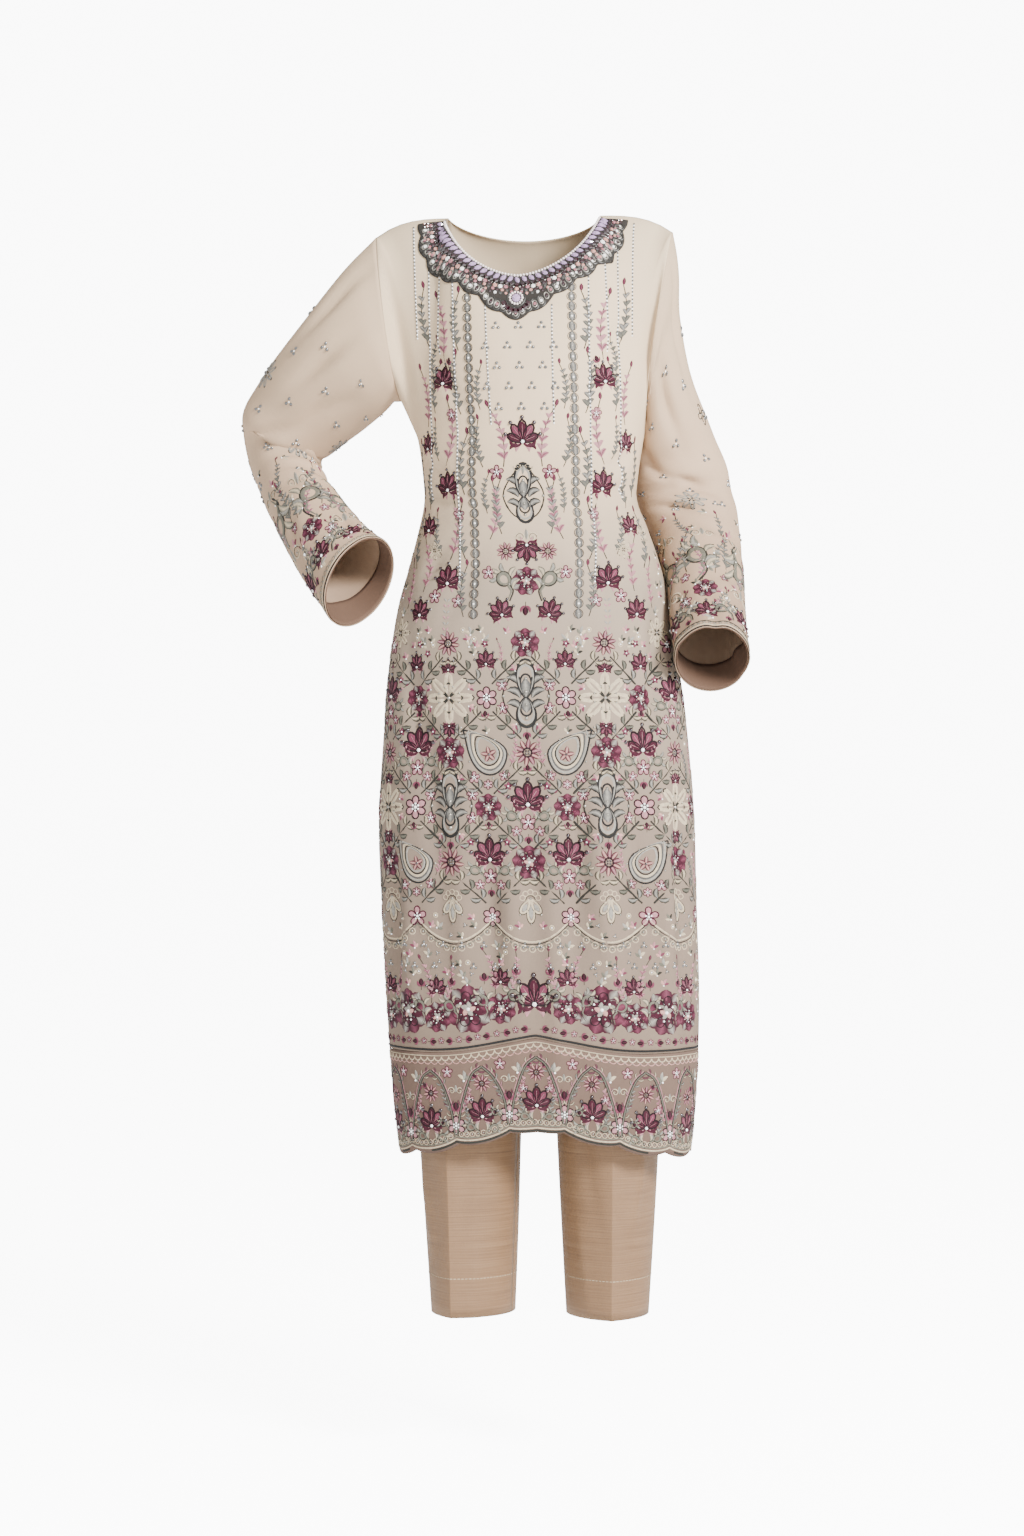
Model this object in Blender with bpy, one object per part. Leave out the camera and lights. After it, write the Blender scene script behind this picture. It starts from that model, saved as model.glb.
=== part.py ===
"""Salwar kameez suit, in its worn shape with no wearer: a long straight kameez with side slits, a jewelled
neckline, wide full sleeves and a scalloped border, over straight cropped trousers with pressed creases.

Metres, +Z up. The front faces -Y and the wearer's left is +X. The origin is midway between the two points where
the shoulder seams meet the neckline, which is where the wearer's shoulders carry the suit. Every piece is cloth:
a thin wall between two grids of points, an outer one and an inner one.
"""

import itertools
import math
from types import SimpleNamespace

import bpy
from mathutils import Vector
from mathutils.bvhtree import BVHTree

# ------------------------------------------------------------------ driving sizes

CLOTH = 0.0016  # thickness of every cloth wall
SEAM = 0.0003  # gap left where two pieces are sewn together
SIDES = {"right": -1, "left": 1}  # the wearer's sides

# neckline and shoulders
NECK_HALF_WIDTH = 0.0885
NECK_FRONT_DROP = 0.0805
NECK_FRONT_REACH = 0.078  # how far forward of the shoulder seam the neckline's lowest point is
NECK_FRONT_ROUNDNESS = 1.75  # 2 is an ellipse, less is closer to a V
NECK_FRONT_LEVEL = 0.58  # below 1, the neckline leaves the shoulder forward before it drops
NECK_BACK_DROP = 0.018
NECK_BACK_REACH = 0.060
NECK_BACK_POWER = 1.5  # above 1, the back neckline stays high near the shoulders
SHOULDER_TIP = (0.1730, -0.0210)  # distance from the middle, height
SHOULDER_ROUNDNESS = 3.0
ARMPIT = (0.1440, -0.2130)
ARMHOLE_HALF_DEPTH = 0.051
ARMHOLE_EGG = 0.30  # how much narrower the armhole is at its top than an ellipse
ARMHOLE_EGG_END = 0.25  # where along the sleeve its section is a plain ellipse

# kameez
CHEST_LEVEL = -0.262  # the yoke ends here and level sections begin
SLIT_TOP = -0.520
SLIT_SHARE = 0.030  # share of each half panel that the slit has opened by at the hem
BORDER_SEAM = SimpleNamespace(middle=-0.9465, drop=0.0185, reach=0.130)
HEM = SimpleNamespace(middle=-1.0530, drop=0.0335, reach=0.200)
DIP_POWER = 1.2  # above 1, the border seam and the hem are flatter in the middle
SCALLOP_REPEAT = 0.0625
SCALLOP_DEPTH = 0.0060
SCALLOP_POWER = 0.7  # below 1, the lobes are pointed between broad rounds

BODY_COLUMNS = "level centre half_width front back squareness"
BODY = (
    (-0.262, 0.0085, 0.1305, 0.106, 0.086, 2.20),
    (-0.310, 0.0072, 0.1236, 0.094, 0.077, 2.20),
    (-0.335, 0.0080, 0.1245, 0.092, 0.076, 2.20),
    (-0.360, 0.0105, 0.1320, 0.094, 0.080, 2.20),
    (-0.410, 0.0125, 0.1470, 0.100, 0.093, 2.20),
    (-0.450, 0.0117, 0.1575, 0.106, 0.106, 2.25),
    (-0.500, 0.0112, 0.1655, 0.109, 0.118, 2.30),
    (-0.560, 0.0123, 0.1729, 0.110, 0.125, 2.30),
    (-0.620, 0.0138, 0.1780, 0.110, 0.127, 2.35),
    (-0.700, 0.0146, 0.1834, 0.110, 0.127, 2.40),
    (-0.800, 0.0176, 0.1830, 0.109, 0.125, 2.45),
    (-0.900, 0.0215, 0.1820, 0.107, 0.122, 2.50),
    (-1.000, 0.0238, 0.1775, 0.105, 0.118, 2.50),
    (-1.090, 0.0250, 0.1690, 0.102, 0.113, 2.50),
)

# The yoke's columns run from one armpit over the armhole, the shoulder and the neckline to the other armpit.
ARMHOLE_COLUMNS = 8
SHOULDER_COLUMNS = 3
NECK_COLUMNS = 14
YOKE_ROWS = 7
BODY_ROWS = 13
# Where the shoulder tip's and the neck point's columns meet the chest level, as a share of the half panel.
CHEST_SHARE = SimpleNamespace(tip=0.73, neck=0.59)
# How the yoke rounds over the shoulder and fills over the chest, by share of the half panel (0 in the middle).
# round: 0 runs straight down, more leaves the shoulder seam more level. fullness: bulge half way down, in metres.
# spread: above 0, columns move sideways early, which keeps them apart below the neck point.
YOKE_HOLD = 0.6  # how much of its rounding also holds a column's height up
YOKE_COLUMNS = "share spread round_front round_back fullness_front fullness_back"
YOKE = (
    (0.00, 0.00, 0.20, 0.50, 0.018, 0.018),
    (0.30, 0.80, 0.50, 0.90, 0.017, 0.016),
    (0.59, 2.20, 0.80, 1.20, 0.014, 0.013),
    (0.73, 0.40, 0.85, 1.10, 0.012, 0.011),
    (0.86, 0.00, 0.45, 0.55, 0.007, 0.007),
    (1.00, 0.00, 0.00, 0.00, 0.000, 0.000),
)

# sleeves: each row is one ring, by its outermost and innermost points and how far it reaches to front and back
SLEEVE_COLUMNS = "outer_x outer_y outer_z inner_x inner_y inner_z half_depth"
BENT_SLEEVE = (
    (0.1730, 0.000, -0.0210, 0.1440, 0.000, -0.2130, 0.051),
    (0.2120, 0.000, -0.0600, 0.1540, 0.000, -0.2160, 0.054),
    (0.2610, 0.008, -0.1180, 0.1700, 0.012, -0.2280, 0.055),
    (0.3050, 0.031, -0.1660, 0.1990, 0.041, -0.2450, 0.054),
    (0.3380, 0.056, -0.2070, 0.2340, 0.066, -0.2650, 0.053),
    (0.3430, 0.065, -0.2440, 0.2470, 0.075, -0.2810, 0.052),
    (0.3290, 0.051, -0.2860, 0.2410, 0.059, -0.2990, 0.051),
    (0.3070, 0.021, -0.3340, 0.2230, 0.029, -0.3230, 0.049),
    (0.2750, -0.021, -0.3900, 0.1950, -0.014, -0.3490, 0.047),
    (0.2420, -0.053, -0.4370, 0.1730, -0.047, -0.3680, 0.046),
    (0.2090, -0.080, -0.4770, 0.1550, -0.075, -0.3800, 0.047),
)
HANGING_SLEEVE = (
    (0.1730, 0.000, -0.0210, 0.1440, 0.000, -0.2130, 0.051),
    (0.1845, 0.004, -0.0700, 0.1500, 0.006, -0.2180, 0.053),
    (0.1900, 0.014, -0.1220, 0.1480, 0.022, -0.2270, 0.054),
    (0.2020, 0.032, -0.1840, 0.1400, 0.042, -0.2480, 0.053),
    (0.2265, 0.054, -0.2470, 0.1310, 0.062, -0.2800, 0.052),
    (0.2490, 0.068, -0.3040, 0.1310, 0.070, -0.3200, 0.051),
    (0.2575, 0.055, -0.3620, 0.1490, 0.056, -0.3680, 0.050),
    (0.2640, 0.013, -0.4230, 0.1700, 0.008, -0.4230, 0.049),
    (0.2670, -0.029, -0.4720, 0.1800, -0.034, -0.4780, 0.049),
    (0.2720, -0.069, -0.5130, 0.1870, -0.074, -0.5220, 0.052),
)
SLEEVE_RINGS = 21
SLEEVE_TURN = (0.20, 0.55)  # along this stretch, rings turn from facing level to facing down the sleeve
CUFF_FACING_WIDTH = 0.035

# Folds in the sleeves: where along the sleeve (0 at the shoulder, 1 at the cuff), where round it (degrees, 0 on
# the outside, 90 in front), half length along and round, and how deep the trough is.
FOLD_COLUMNS = "along angle half_along half_angle depth"
BENT_FOLDS = (
    (0.47, 135, 0.030, 75, 0.0080),
    (0.56, 150, 0.032, 85, 0.0100),
    (0.66, 120, 0.030, 60, 0.0060),
    (0.36, 60, 0.040, 50, 0.0050),
)
HANGING_FOLDS = (
    (0.46, 100, 0.035, 70, 0.0060),
    (0.57, 60, 0.035, 80, 0.0070),
    (0.68, 130, 0.030, 60, 0.0050),
)

# neck trim, laid on the front round the neckline
TRIM_LIFT = 0.0008  # from the front to the trim's underside
TRIM_INSIDE = Vector((0, 0, -0.150))  # a point behind the whole trim
SETTLE_ROUNDS = 6
SETTLE_PARTS = (0.0, 0.25, 0.5, 0.75)
TRIM_EDGE = 0.0015  # from the neckline to the trim's inner edge
TRIM_WIDTH = 0.0380
TRIM_PENDANT = 0.0190  # extra width at the middle
TRIM_PENDANT_REACH = 0.20  # share of the half neckline over which the pendant fades
TRIM_END_WIDTH = 0.85  # width at the ends, as a share
TRIM_TAPER = 0.30  # share of the half neckline over which the ends narrow
TRIM_START = 0.06  # how far below each neck point it starts, as a share of the half neckline
NECK_STEP = 0.01  # share of the half neckline between two points that give its direction
TRIM_BASE = 0.0016
TRIM_STONES = 52  # columns: every other one is raised
TRIM_ROWS_COLUMNS = "share raised even"  # share of the width, height, and whether even or odd columns are raised
TRIM_ROWS = (
    (0.00, 0.0000, None),
    (0.10, 0.0012, True),
    (0.30, 0.0026, False),
    (0.55, 0.0024, True),
    (0.80, 0.0014, False),
    (1.00, 0.0000, None),
)
TRIM_LOBES = 13
TRIM_LOBE_DEPTH = 0.0045

# trousers: half sections from the outer seam round to the inner seam. sweep is 90 where the two halves share one
# round waist, and 180 once each leg is its own tube.
TROUSER_COLUMNS = "level centre sweep outer inner front back crease"
TROUSERS = (
    (-0.362, 0.0105, 90, 0.1120, 0.0000, 0.0790, 0.0650, 0.00),
    (-0.420, 0.0122, 90, 0.1290, 0.0000, 0.0850, 0.0800, 0.00),
    (-0.480, 0.0115, 90, 0.1440, 0.0000, 0.0910, 0.0980, 0.00),
    (-0.540, 0.0120, 91, 0.1530, 0.0000, 0.0940, 0.1080, 0.00),
    (-0.585, 0.0130, 100, 0.1570, 0.0000, 0.0940, 0.1100, 0.00),
    (-0.620, 0.0138, 120, 0.1580, 0.0000, 0.0930, 0.1080, 0.02),
    (-0.645, 0.0142, 150, 0.1575, 0.0010, 0.0920, 0.1050, 0.04),
    (-0.665, 0.0146, 180, 0.1565, 0.0025, 0.0905, 0.1020, 0.06),
    (-0.750, 0.0160, 180, 0.1530, 0.0060, 0.0860, 0.0930, 0.14),
    (-0.850, 0.0170, 180, 0.1490, 0.0110, 0.0800, 0.0830, 0.24),
    (-0.950, 0.0175, 180, 0.1450, 0.0160, 0.0750, 0.0760, 0.34),
    (-1.060, 0.0175, 180, 0.1400, 0.0205, 0.0710, 0.0710, 0.44),
    (-1.170, 0.0185, 180, 0.1330, 0.0250, 0.0690, 0.0690, 0.50),
    (-1.272, 0.0190, 180, 0.1260, 0.0300, 0.0670, 0.0670, 0.52),
)
TROUSER_PANEL_COLUMNS = 9
WHOLE_LEG = 175  # a sweep above this is a whole leg
TOE_OUT = {"right": 17, "left": 8}  # degrees that each leg is turned out by at its hem
TOE_OUT_LEVELS = (-0.70, -1.10)  # where the turn starts and where it is complete
WAISTBAND_HEIGHT = 0.036
WAISTBAND_THICKNESS = 0.0026
WAISTBAND_COLUMNS = 24
WAISTBAND_LEAN = 0.002  # how much narrower each side of it is at its top

ROUGHNESS = 0.8
SHARP_ANGLE = 50  # degrees; softer edges are shaded smooth
COLOURS = {
    "kameez": (0.66, 0.60, 0.53),
    "border": (0.44, 0.38, 0.33),
    "sleeve": (0.64, 0.57, 0.50),
    "facing": (0.30, 0.22, 0.17),
    "trim": (0.22, 0.12, 0.17),
    "trousers": (0.52, 0.38, 0.28),
}

# ------------------------------------------------------------------ small mathematics


def smooth(value):
    """0 below 0, 1 above 1, and an even rise between."""
    value = min(max(value, 0.0), 1.0)
    return value * value * (3 - 2 * value)


def hermite(keys, values, at):
    """A smooth curve through values given at rising keys."""
    at = min(max(at, keys[0]), keys[-1])
    last = len(keys) - 1
    i = next(k for k in range(last) if at <= keys[k + 1])

    def slope(k):
        before, after = max(k - 1, 0), min(k + 1, last)
        return (values[after] - values[before]) / (keys[after] - keys[before])

    span = keys[i + 1] - keys[i]
    t = (at - keys[i]) / span
    return (
        (2 * t**3 - 3 * t**2 + 1) * values[i]
        + (t**3 - 2 * t**2 + t) * span * slope(i)
        + (3 * t**2 - 2 * t**3) * values[i + 1]
        + (t**3 - t**2) * span * slope(i + 1)
    )


def row_at(table, columns, at, keys=None):
    """The table's values at one place, named by its columns. The first column is the key unless keys are given."""
    rows = table
    if keys is None:
        rows = sorted(table)
        keys = [row[0] for row in rows]
    names = columns.split()
    values = {name: hermite(keys, [row[i] for row in rows], at) for i, name in enumerate(names)}
    return SimpleNamespace(**values)


def arch(part):
    """0 at both ends and 1 half way."""
    return 4 * part * (1 - part)


def spread(points, shares):
    """Points at the given shares of a polyline's length."""
    lengths = [0.0]
    for a, b in zip(points, points[1:]):
        lengths.append(lengths[-1] + (b - a).length)
    found = []
    for share in shares:
        want = min(max(share, 0.0), 1.0) * lengths[-1]
        i = next((k for k in range(len(points) - 1) if want <= lengths[k + 1]), len(points) - 2)
        part = (want - lengths[i]) / (lengths[i + 1] - lengths[i])
        found.append(points[i].lerp(points[i + 1], part))
    return found


# ------------------------------------------------------------------ walls


def unit_normals(rows, closed, inside):
    """The grid's normals, each pointing away from its row's inside point."""
    last_row, last = len(rows) - 1, len(rows[0]) - 1
    found = []
    for r, row in enumerate(rows):
        line = []
        for c, point in enumerate(row):
            before = row[c - 1] if closed else row[max(c - 1, 0)]
            after = row[(c + 1) % (last + 1)] if closed else row[min(c + 1, last)]
            down = rows[min(r + 1, last_row)][c] - rows[max(r - 1, 0)][c]
            normal = (after - before).cross(down).normalized()
            line.append(normal if normal.dot(point - inside(r)) > 0 else -normal)
        found.append(line)
    return found


def moved(rows, distance, closed, inside, neighbour=None):
    """The grid moved along its normals. neighbour(r, c) gives the directions in which a sewn edge may not move."""
    normals = unit_normals(rows, closed, inside)
    found = []
    for r, row in enumerate(rows):
        line = []
        for c, point in enumerate(row):
            step = normals[r][c] * distance
            for direction in neighbour(r, c) if neighbour else ():
                step -= direction * max(step.dot(direction), 0.0)
            step *= abs(distance) / step.length
            line.append(point + step)
        found.append(line)
    return found


def make_object(name, vertices, faces, colour):
    mesh = bpy.data.meshes.new(name)
    mesh.from_pydata(vertices, [], faces)
    mesh.update()
    material = bpy.data.materials.get(colour) or bpy.data.materials.new(colour)
    material.use_nodes = True
    shader = material.node_tree.nodes["Principled BSDF"]
    shader.inputs["Base Color"].default_value = (*COLOURS[colour], 1)
    shader.inputs["Roughness"].default_value = ROUGHNESS
    mesh.materials.append(material)
    mesh.shade_smooth()
    mesh.set_sharp_from_angle(angle=math.radians(SHARP_ANGLE))
    result = bpy.data.objects.new(name, mesh)
    bpy.context.collection.objects.link(result)
    return result


def make_wall(name, outer, inner, colour, closed=False):
    """One closed solid between two grids of the same size. A closed grid's rows are rings."""
    count_rows, count = len(outer), len(outer[0])
    vertices = [point for row in outer + inner for point in row]
    half = count_rows * count

    def at(layer, r, c):
        return layer * half + r * count + c % count

    faces = []
    spans = count if closed else count - 1
    for r in range(count_rows - 1):
        for c in range(spans):
            corners = ((r, c), (r, c + 1), (r + 1, c + 1), (r + 1, c))
            faces.append([at(0, *corner) for corner in corners])
            faces.append([at(1, *corner) for corner in reversed(corners)])
    for c in range(spans):
        for r, first, second in ((0, c + 1, c), (count_rows - 1, c, c + 1)):
            faces.append([at(0, r, first), at(0, r, second), at(1, r, second), at(1, r, first)])
    if not closed:
        for r in range(count_rows - 1):
            for c, first, second in ((0, r, r + 1), (count - 1, r + 1, r)):
                faces.append([at(0, first, c), at(0, second, c), at(1, second, c), at(1, first, c)])
    middle = sum(vertices, Vector()) / len(vertices)
    volume = sum(
        (vertices[f[0]] - middle).dot((vertices[f[i]] - middle).cross(vertices[f[i + 1]] - middle))
        for f in faces
        for i in (1, 2)
    )
    if volume < 0:
        faces = [face[::-1] for face in faces]
    return make_object(name, vertices, faces, colour)


# ------------------------------------------------------------------ kameez panels

FRONT, BACK = -1, 1
SECTION_STEPS = 48
AXIS_X = 0.010
AXIS_DROP = 0.030


def dip(line, away):
    """The height of the border seam or the hem at a distance along the panel from its middle."""
    return line.middle - line.drop * math.sin(min(abs(away) / line.reach, 1.0) * math.pi / 2) ** DIP_POWER


def section(level, face):
    """The kameez's outline at one level, from the right side seam to the left one."""
    row = row_at(BODY, BODY_COLUMNS, level)
    depth = row.front if face == FRONT else row.back
    power = 2 / row.squareness
    points = []
    for step in range(SECTION_STEPS + 1):
        angle = math.pi * (step / SECTION_STEPS - 0.5)
        across = math.copysign(abs(math.sin(angle)) ** power, angle) * row.half_width
        out = max(math.cos(angle), 0.0) ** power * depth
        points.append(Vector((row.centre + across, face * out, level)))
    return points


def panel_point(level, share, face):
    """A point of the front or back below the chest. share runs from -1 at the right edge to 1 at the left."""
    opened = SLIT_SHARE * smooth((SLIT_TOP - level) / (SLIT_TOP - HEM.middle))
    return spread(section(level, face), [(share * (1 - opened) + 1) / 2])[0]


def half_length(level, face):
    outline = section(level, face)
    return sum((b - a).length for a, b in zip(outline, outline[1:])) / 2


def armhole_point(side, angle):
    """The armhole is an ellipse in a slightly slanted plane. angle is 0 at the shoulder tip, 180 at the armpit."""
    part = (1 - math.cos(angle)) / 2
    across = SHOULDER_TIP[0] + (ARMPIT[0] - SHOULDER_TIP[0]) * part
    height = SHOULDER_TIP[1] + (ARMPIT[1] - SHOULDER_TIP[1]) * part
    out = ARMHOLE_HALF_DEPTH * math.sin(angle) * (1 - ARMHOLE_EGG * math.cos(angle))
    return Vector((side * across, -out, height))


def shoulder_point(part):
    """A point of the left shoulder seam, from the neckline (0) to the tip (1): level at first, then rounding down."""
    across = NECK_HALF_WIDTH + (SHOULDER_TIP[0] - NECK_HALF_WIDTH) * part
    return Vector((across, 0, SHOULDER_TIP[1] * part**SHOULDER_ROUNDNESS))


def neckline_point(share, face):
    """A point of the neckline. share is -1 at the right neck point, 0 in the middle, 1 at the left neck point."""
    angle = math.pi / 2 * (1 - abs(share))
    side = math.copysign(1, share)
    if face == FRONT:
        power = 2 / NECK_FRONT_ROUNDNESS
        across = math.cos(angle) ** power
        down = math.sin(angle) ** power
        return Vector(
            (
                side * NECK_HALF_WIDTH * across,
                -NECK_FRONT_REACH * down**NECK_FRONT_LEVEL,
                -NECK_FRONT_DROP * down,
            )
        )
    return Vector(
        (
            side * NECK_HALF_WIDTH * math.cos(angle),
            NECK_BACK_REACH * math.sin(angle),
            -NECK_BACK_DROP * math.sin(angle) ** NECK_BACK_POWER,
        )
    )


def panel_top(face):
    """The upper edge of a panel: (point, share of the half panel below it) for each column."""
    half = []
    for i in range(ARMHOLE_COLUMNS):
        part = i / ARMHOLE_COLUMNS
        point = armhole_point(1, math.pi * (1 - part))
        point.y *= -face
        half.append((point, 1 + (CHEST_SHARE.tip - 1) * part))
    for i in range(SHOULDER_COLUMNS):
        part = i / SHOULDER_COLUMNS
        share = CHEST_SHARE.tip + (CHEST_SHARE.neck - CHEST_SHARE.tip) * part
        half.append((shoulder_point(1 - part), share))
    for i in range(NECK_COLUMNS // 2 + 1):
        part = i / (NECK_COLUMNS // 2)
        half.append((neckline_point(1 - part, face), CHEST_SHARE.neck * (1 - part)))
    right = [(Vector((-point.x, point.y, point.z)), -share) for point, share in half]
    return right + half[-2::-1]


def panel_rows(face):
    """The whole front or back: the yoke's rows from the upper edge to the chest, then rows down to the border."""
    top = panel_top(face)
    name = "front" if face == FRONT else "back"
    rows = []
    for r in range(YOKE_ROWS):
        part = r / YOKE_ROWS
        row = []
        for point, share in top:
            yoke = row_at(YOKE, YOKE_COLUMNS, abs(share))
            rounding = getattr(yoke, f"round_{name}")
            bulge = face * getattr(yoke, f"fullness_{name}") * arch(part)
            below = panel_point(CHEST_LEVEL, share, face)
            aside = 1 - (1 - part) ** (1 + yoke.spread)
            out = 1 - (1 - part) ** (1 + rounding)
            down = part ** (1 + YOKE_HOLD * rounding)
            row.append(
                Vector(
                    (
                        point.x + (below.x - point.x) * aside,
                        point.y + (below.y - point.y) * out + bulge,
                        point.z + (below.z - point.z) * down,
                    )
                )
            )
        rows.append(row)
    for r in range(BODY_ROWS + 1):
        part = r / BODY_ROWS
        row = []
        for _, share in top:
            away = share * half_length(BORDER_SEAM.middle, face)
            level = CHEST_LEVEL + (dip(BORDER_SEAM, away) - CHEST_LEVEL) * part
            row.append(panel_point(level, share, face))
        rows.append(row)
    apart = Vector((0, face * SEAM / 2, 0))
    return [[point + apart for point in row] for row in rows]


def body_axis(rows):
    """The inside point of each row: on the body's axis, a little below that row's height."""
    return lambda r: Vector((AXIS_X, 0, sum(point.z for point in rows[r]) / len(rows[r]) - AXIS_DROP))


def panel_seams(face, rows, above, below):
    """Which edges of a panel are sewn: both sides, the shoulders, and its top or bottom where another panel meets."""
    last_row, last = len(rows) - 1, len(rows[0]) - 1
    shoulder = range(ARMHOLE_COLUMNS, ARMHOLE_COLUMNS + SHOULDER_COLUMNS + 1)

    def neighbour(r, c):
        directions = []
        at_shoulder = r == 0 and not above and (c in shoulder or last - c in shoulder)
        if c in (0, last) or at_shoulder:
            directions.append(Vector((0, -face, 0)))
        if above and r == 0:
            directions.append(Vector((0, 0, 1)))
        if below and r == last_row:
            directions.append(Vector((0, 0, -1)))
        return directions

    return neighbour


def make_panel(yoke_name, name, face):
    """The front or back, in two pieces that meet at the chest level."""
    rows = panel_rows(face)
    apart = Vector((0, 0, SEAM / 2))
    yoke = rows[:YOKE_ROWS] + [[point + apart for point in rows[YOKE_ROWS]]]
    body = [[point - apart for point in rows[YOKE_ROWS]]] + rows[YOKE_ROWS + 1 :]
    for piece, grid, above, below in ((yoke_name, yoke, False, True), (name, body, True, False)):
        inner = moved(grid, -CLOTH, False, body_axis(grid), panel_seams(face, grid, above, below))
        make_wall(piece, grid, inner, "kameez")
    return rows


BORDER_COLUMNS = 40
BORDER_ROWS = 3
BORDER_GAP = 2 * SEAM


def scallop(away):
    """How far the hem's edge is raised between the lobes of its scallops."""
    return SCALLOP_DEPTH * (1 - abs(math.cos(math.pi * away / SCALLOP_REPEAT)) ** SCALLOP_POWER)


def make_border(name, face):
    """The border, cut as its own band: straight where it is sewn on and scalloped at the hem."""
    length = half_length(HEM.middle, face)
    rows = []
    for r in range(BORDER_ROWS + 1):
        part = r / BORDER_ROWS
        row = []
        for c in range(BORDER_COLUMNS + 1):
            share = 2 * c / BORDER_COLUMNS - 1
            top = dip(BORDER_SEAM, share * length) - BORDER_GAP
            bottom = dip(HEM, share * length) + scallop(share * length)
            point = panel_point(top + (bottom - top) * part, share, face)
            row.append(point + Vector((0, face * SEAM / 2, 0)))
        rows.append(row)
    level_top = lambda r, c: [Vector((0, 0, 1))] if r == 0 else []
    inner = moved(rows, -CLOTH, False, body_axis(rows), level_top)
    return make_wall(name, rows, inner, "border")


# ------------------------------------------------------------------ sleeves


def sleeve_ring(table, side, along):
    """(centre, half width, half depth) of a sleeve as vectors, at a place along it from 0 to 1."""
    keys = [i / (len(table) - 1) for i in range(len(table))]

    def ends(at):
        row = row_at(table, SLEEVE_COLUMNS, at, keys)
        outer = Vector((side * row.outer_x, row.outer_y, row.outer_z))
        inner = Vector((side * row.inner_x, row.inner_y, row.inner_z))
        return outer, inner, row.half_depth

    outer, inner, depth = ends(along)
    step = 0.5 / len(table)
    before, after = ends(max(along - step, 0)), ends(min(along + step, 1))
    direction = (after[0] + after[1] - before[0] - before[1]).normalized()
    across = (outer - inner) / 2
    squared = direction.cross(across).normalized() * side
    level = Vector((0, -1, 0)).project(across) * -1 + Vector((0, -1, 0))
    turned = smooth((along - SLEEVE_TURN[0]) / (SLEEVE_TURN[1] - SLEEVE_TURN[0]))
    forward = level.normalized().lerp(squared, turned).normalized()
    return (outer + inner) / 2, across, forward * depth


def fold_depth(folds, along, angle):
    """How far the sleeve's troughs pull a point in."""
    total = 0.0
    for at, middle, half_along, half_angle, depth in folds:
        turned = (math.degrees(angle) - middle + 180) % 360 - 180
        total += depth * math.exp(-(((along - at) / half_along) ** 2) - (turned / half_angle) ** 2)
    return total


def sleeve_rows(table, folds, side, stations):
    rows = []
    count = 2 * ARMHOLE_COLUMNS
    for along in stations:
        centre, across, forward = sleeve_ring(table, side, along)
        egg = ARMHOLE_EGG * (1 - smooth(along / ARMHOLE_EGG_END))
        row = []
        for c in range(count):
            angle = 2 * math.pi * c / count
            arm = across * math.cos(angle) + forward * math.sin(angle) * (1 - egg * math.cos(angle))
            row.append(centre + arm * (1 - fold_depth(folds, along, angle) / arm.length))
        rows.append(row)
    return rows


def ring_middle(rows):
    return lambda r: sum(rows[r], Vector()) / len(rows[r])


def make_sleeve(name, facing_name, table, folds, side):
    """A sleeve from armhole to cuff, and the strip turned up inside the cuff."""
    stations = [i / (SLEEVE_RINGS - 1) for i in range(SLEEVE_RINGS)]
    rows = sleeve_rows(table, folds, side, stations)
    clear = Vector((side * SEAM, 0, 0))
    rows[0] = [point + clear for point in rows[0]]
    towards_body = Vector((-side, 0, 0))
    inner = moved(rows, -CLOTH, True, ring_middle(rows), lambda r, c: [towards_body] if r == 0 else [])
    make_wall(name, rows, inner, "sleeve", closed=True)

    middles = [ring_middle(rows)(r) for r in range(SLEEVE_RINGS)]
    length = sum((b - a).length for a, b in zip(middles, middles[1:]))
    start = 1 - CUFF_FACING_WIDTH / length
    end = 1 - 2 * SEAM / length
    band = sleeve_rows(table, folds, side, [start, (start + end) / 2, end])
    outside = moved(band, -CLOTH - SEAM, True, ring_middle(band))
    inside = moved(band, -2 * CLOTH - SEAM, True, ring_middle(band))
    make_wall(facing_name, outside, inside, "facing", closed=True)


# ------------------------------------------------------------------ neck trim


def trim_width(share):
    """The trim is wider towards the middle, where it ends in a pendant, and its outer edge is in small lobes."""
    pendant = TRIM_PENDANT * math.exp(-((share / TRIM_PENDANT_REACH) ** 2))
    ends = TRIM_END_WIDTH + (1 - TRIM_END_WIDTH) * smooth((1 - abs(share)) / TRIM_TAPER)
    lobe = TRIM_LOBE_DEPTH * abs(math.sin(math.pi * TRIM_LOBES * (share + 1) / 2))
    return TRIM_WIDTH * ends + pendant + lobe - TRIM_LOBE_DEPTH


def settled(places, ups, surface):
    """The grid lifted off the surface until every edge and diagonal of it is clear by the trim's lift."""
    lifts = [[TRIM_LIFT] * len(row) for row in places]
    for _ in range(SETTLE_ROUNDS):
        for r, c, dr, dc in itertools.product(range(len(places)), range(len(places[0])), (0, 1), (-1, 0, 1)):
            end_row, end = r + dr, c + dc
            if end_row >= len(places) or not 0 <= end < len(places[0]):
                continue
            first = places[r][c] + ups[r][c] * lifts[r][c]
            second = places[end_row][end] + ups[end_row][end] * lifts[end_row][end]
            for part in SETTLE_PARTS:
                point = first.lerp(second, part)
                near = surface.find_nearest(point)[0]
                gap = math.copysign((point - near).length, (point - near).dot(ups[r][c]))
                raised = max(TRIM_LIFT - gap, 0) / 2
                lifts[r][c] += raised
                lifts[end_row][end] += raised
    return [[place + up * lift for place, up, lift in zip(*row)] for row in zip(places, ups, lifts)]


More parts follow.
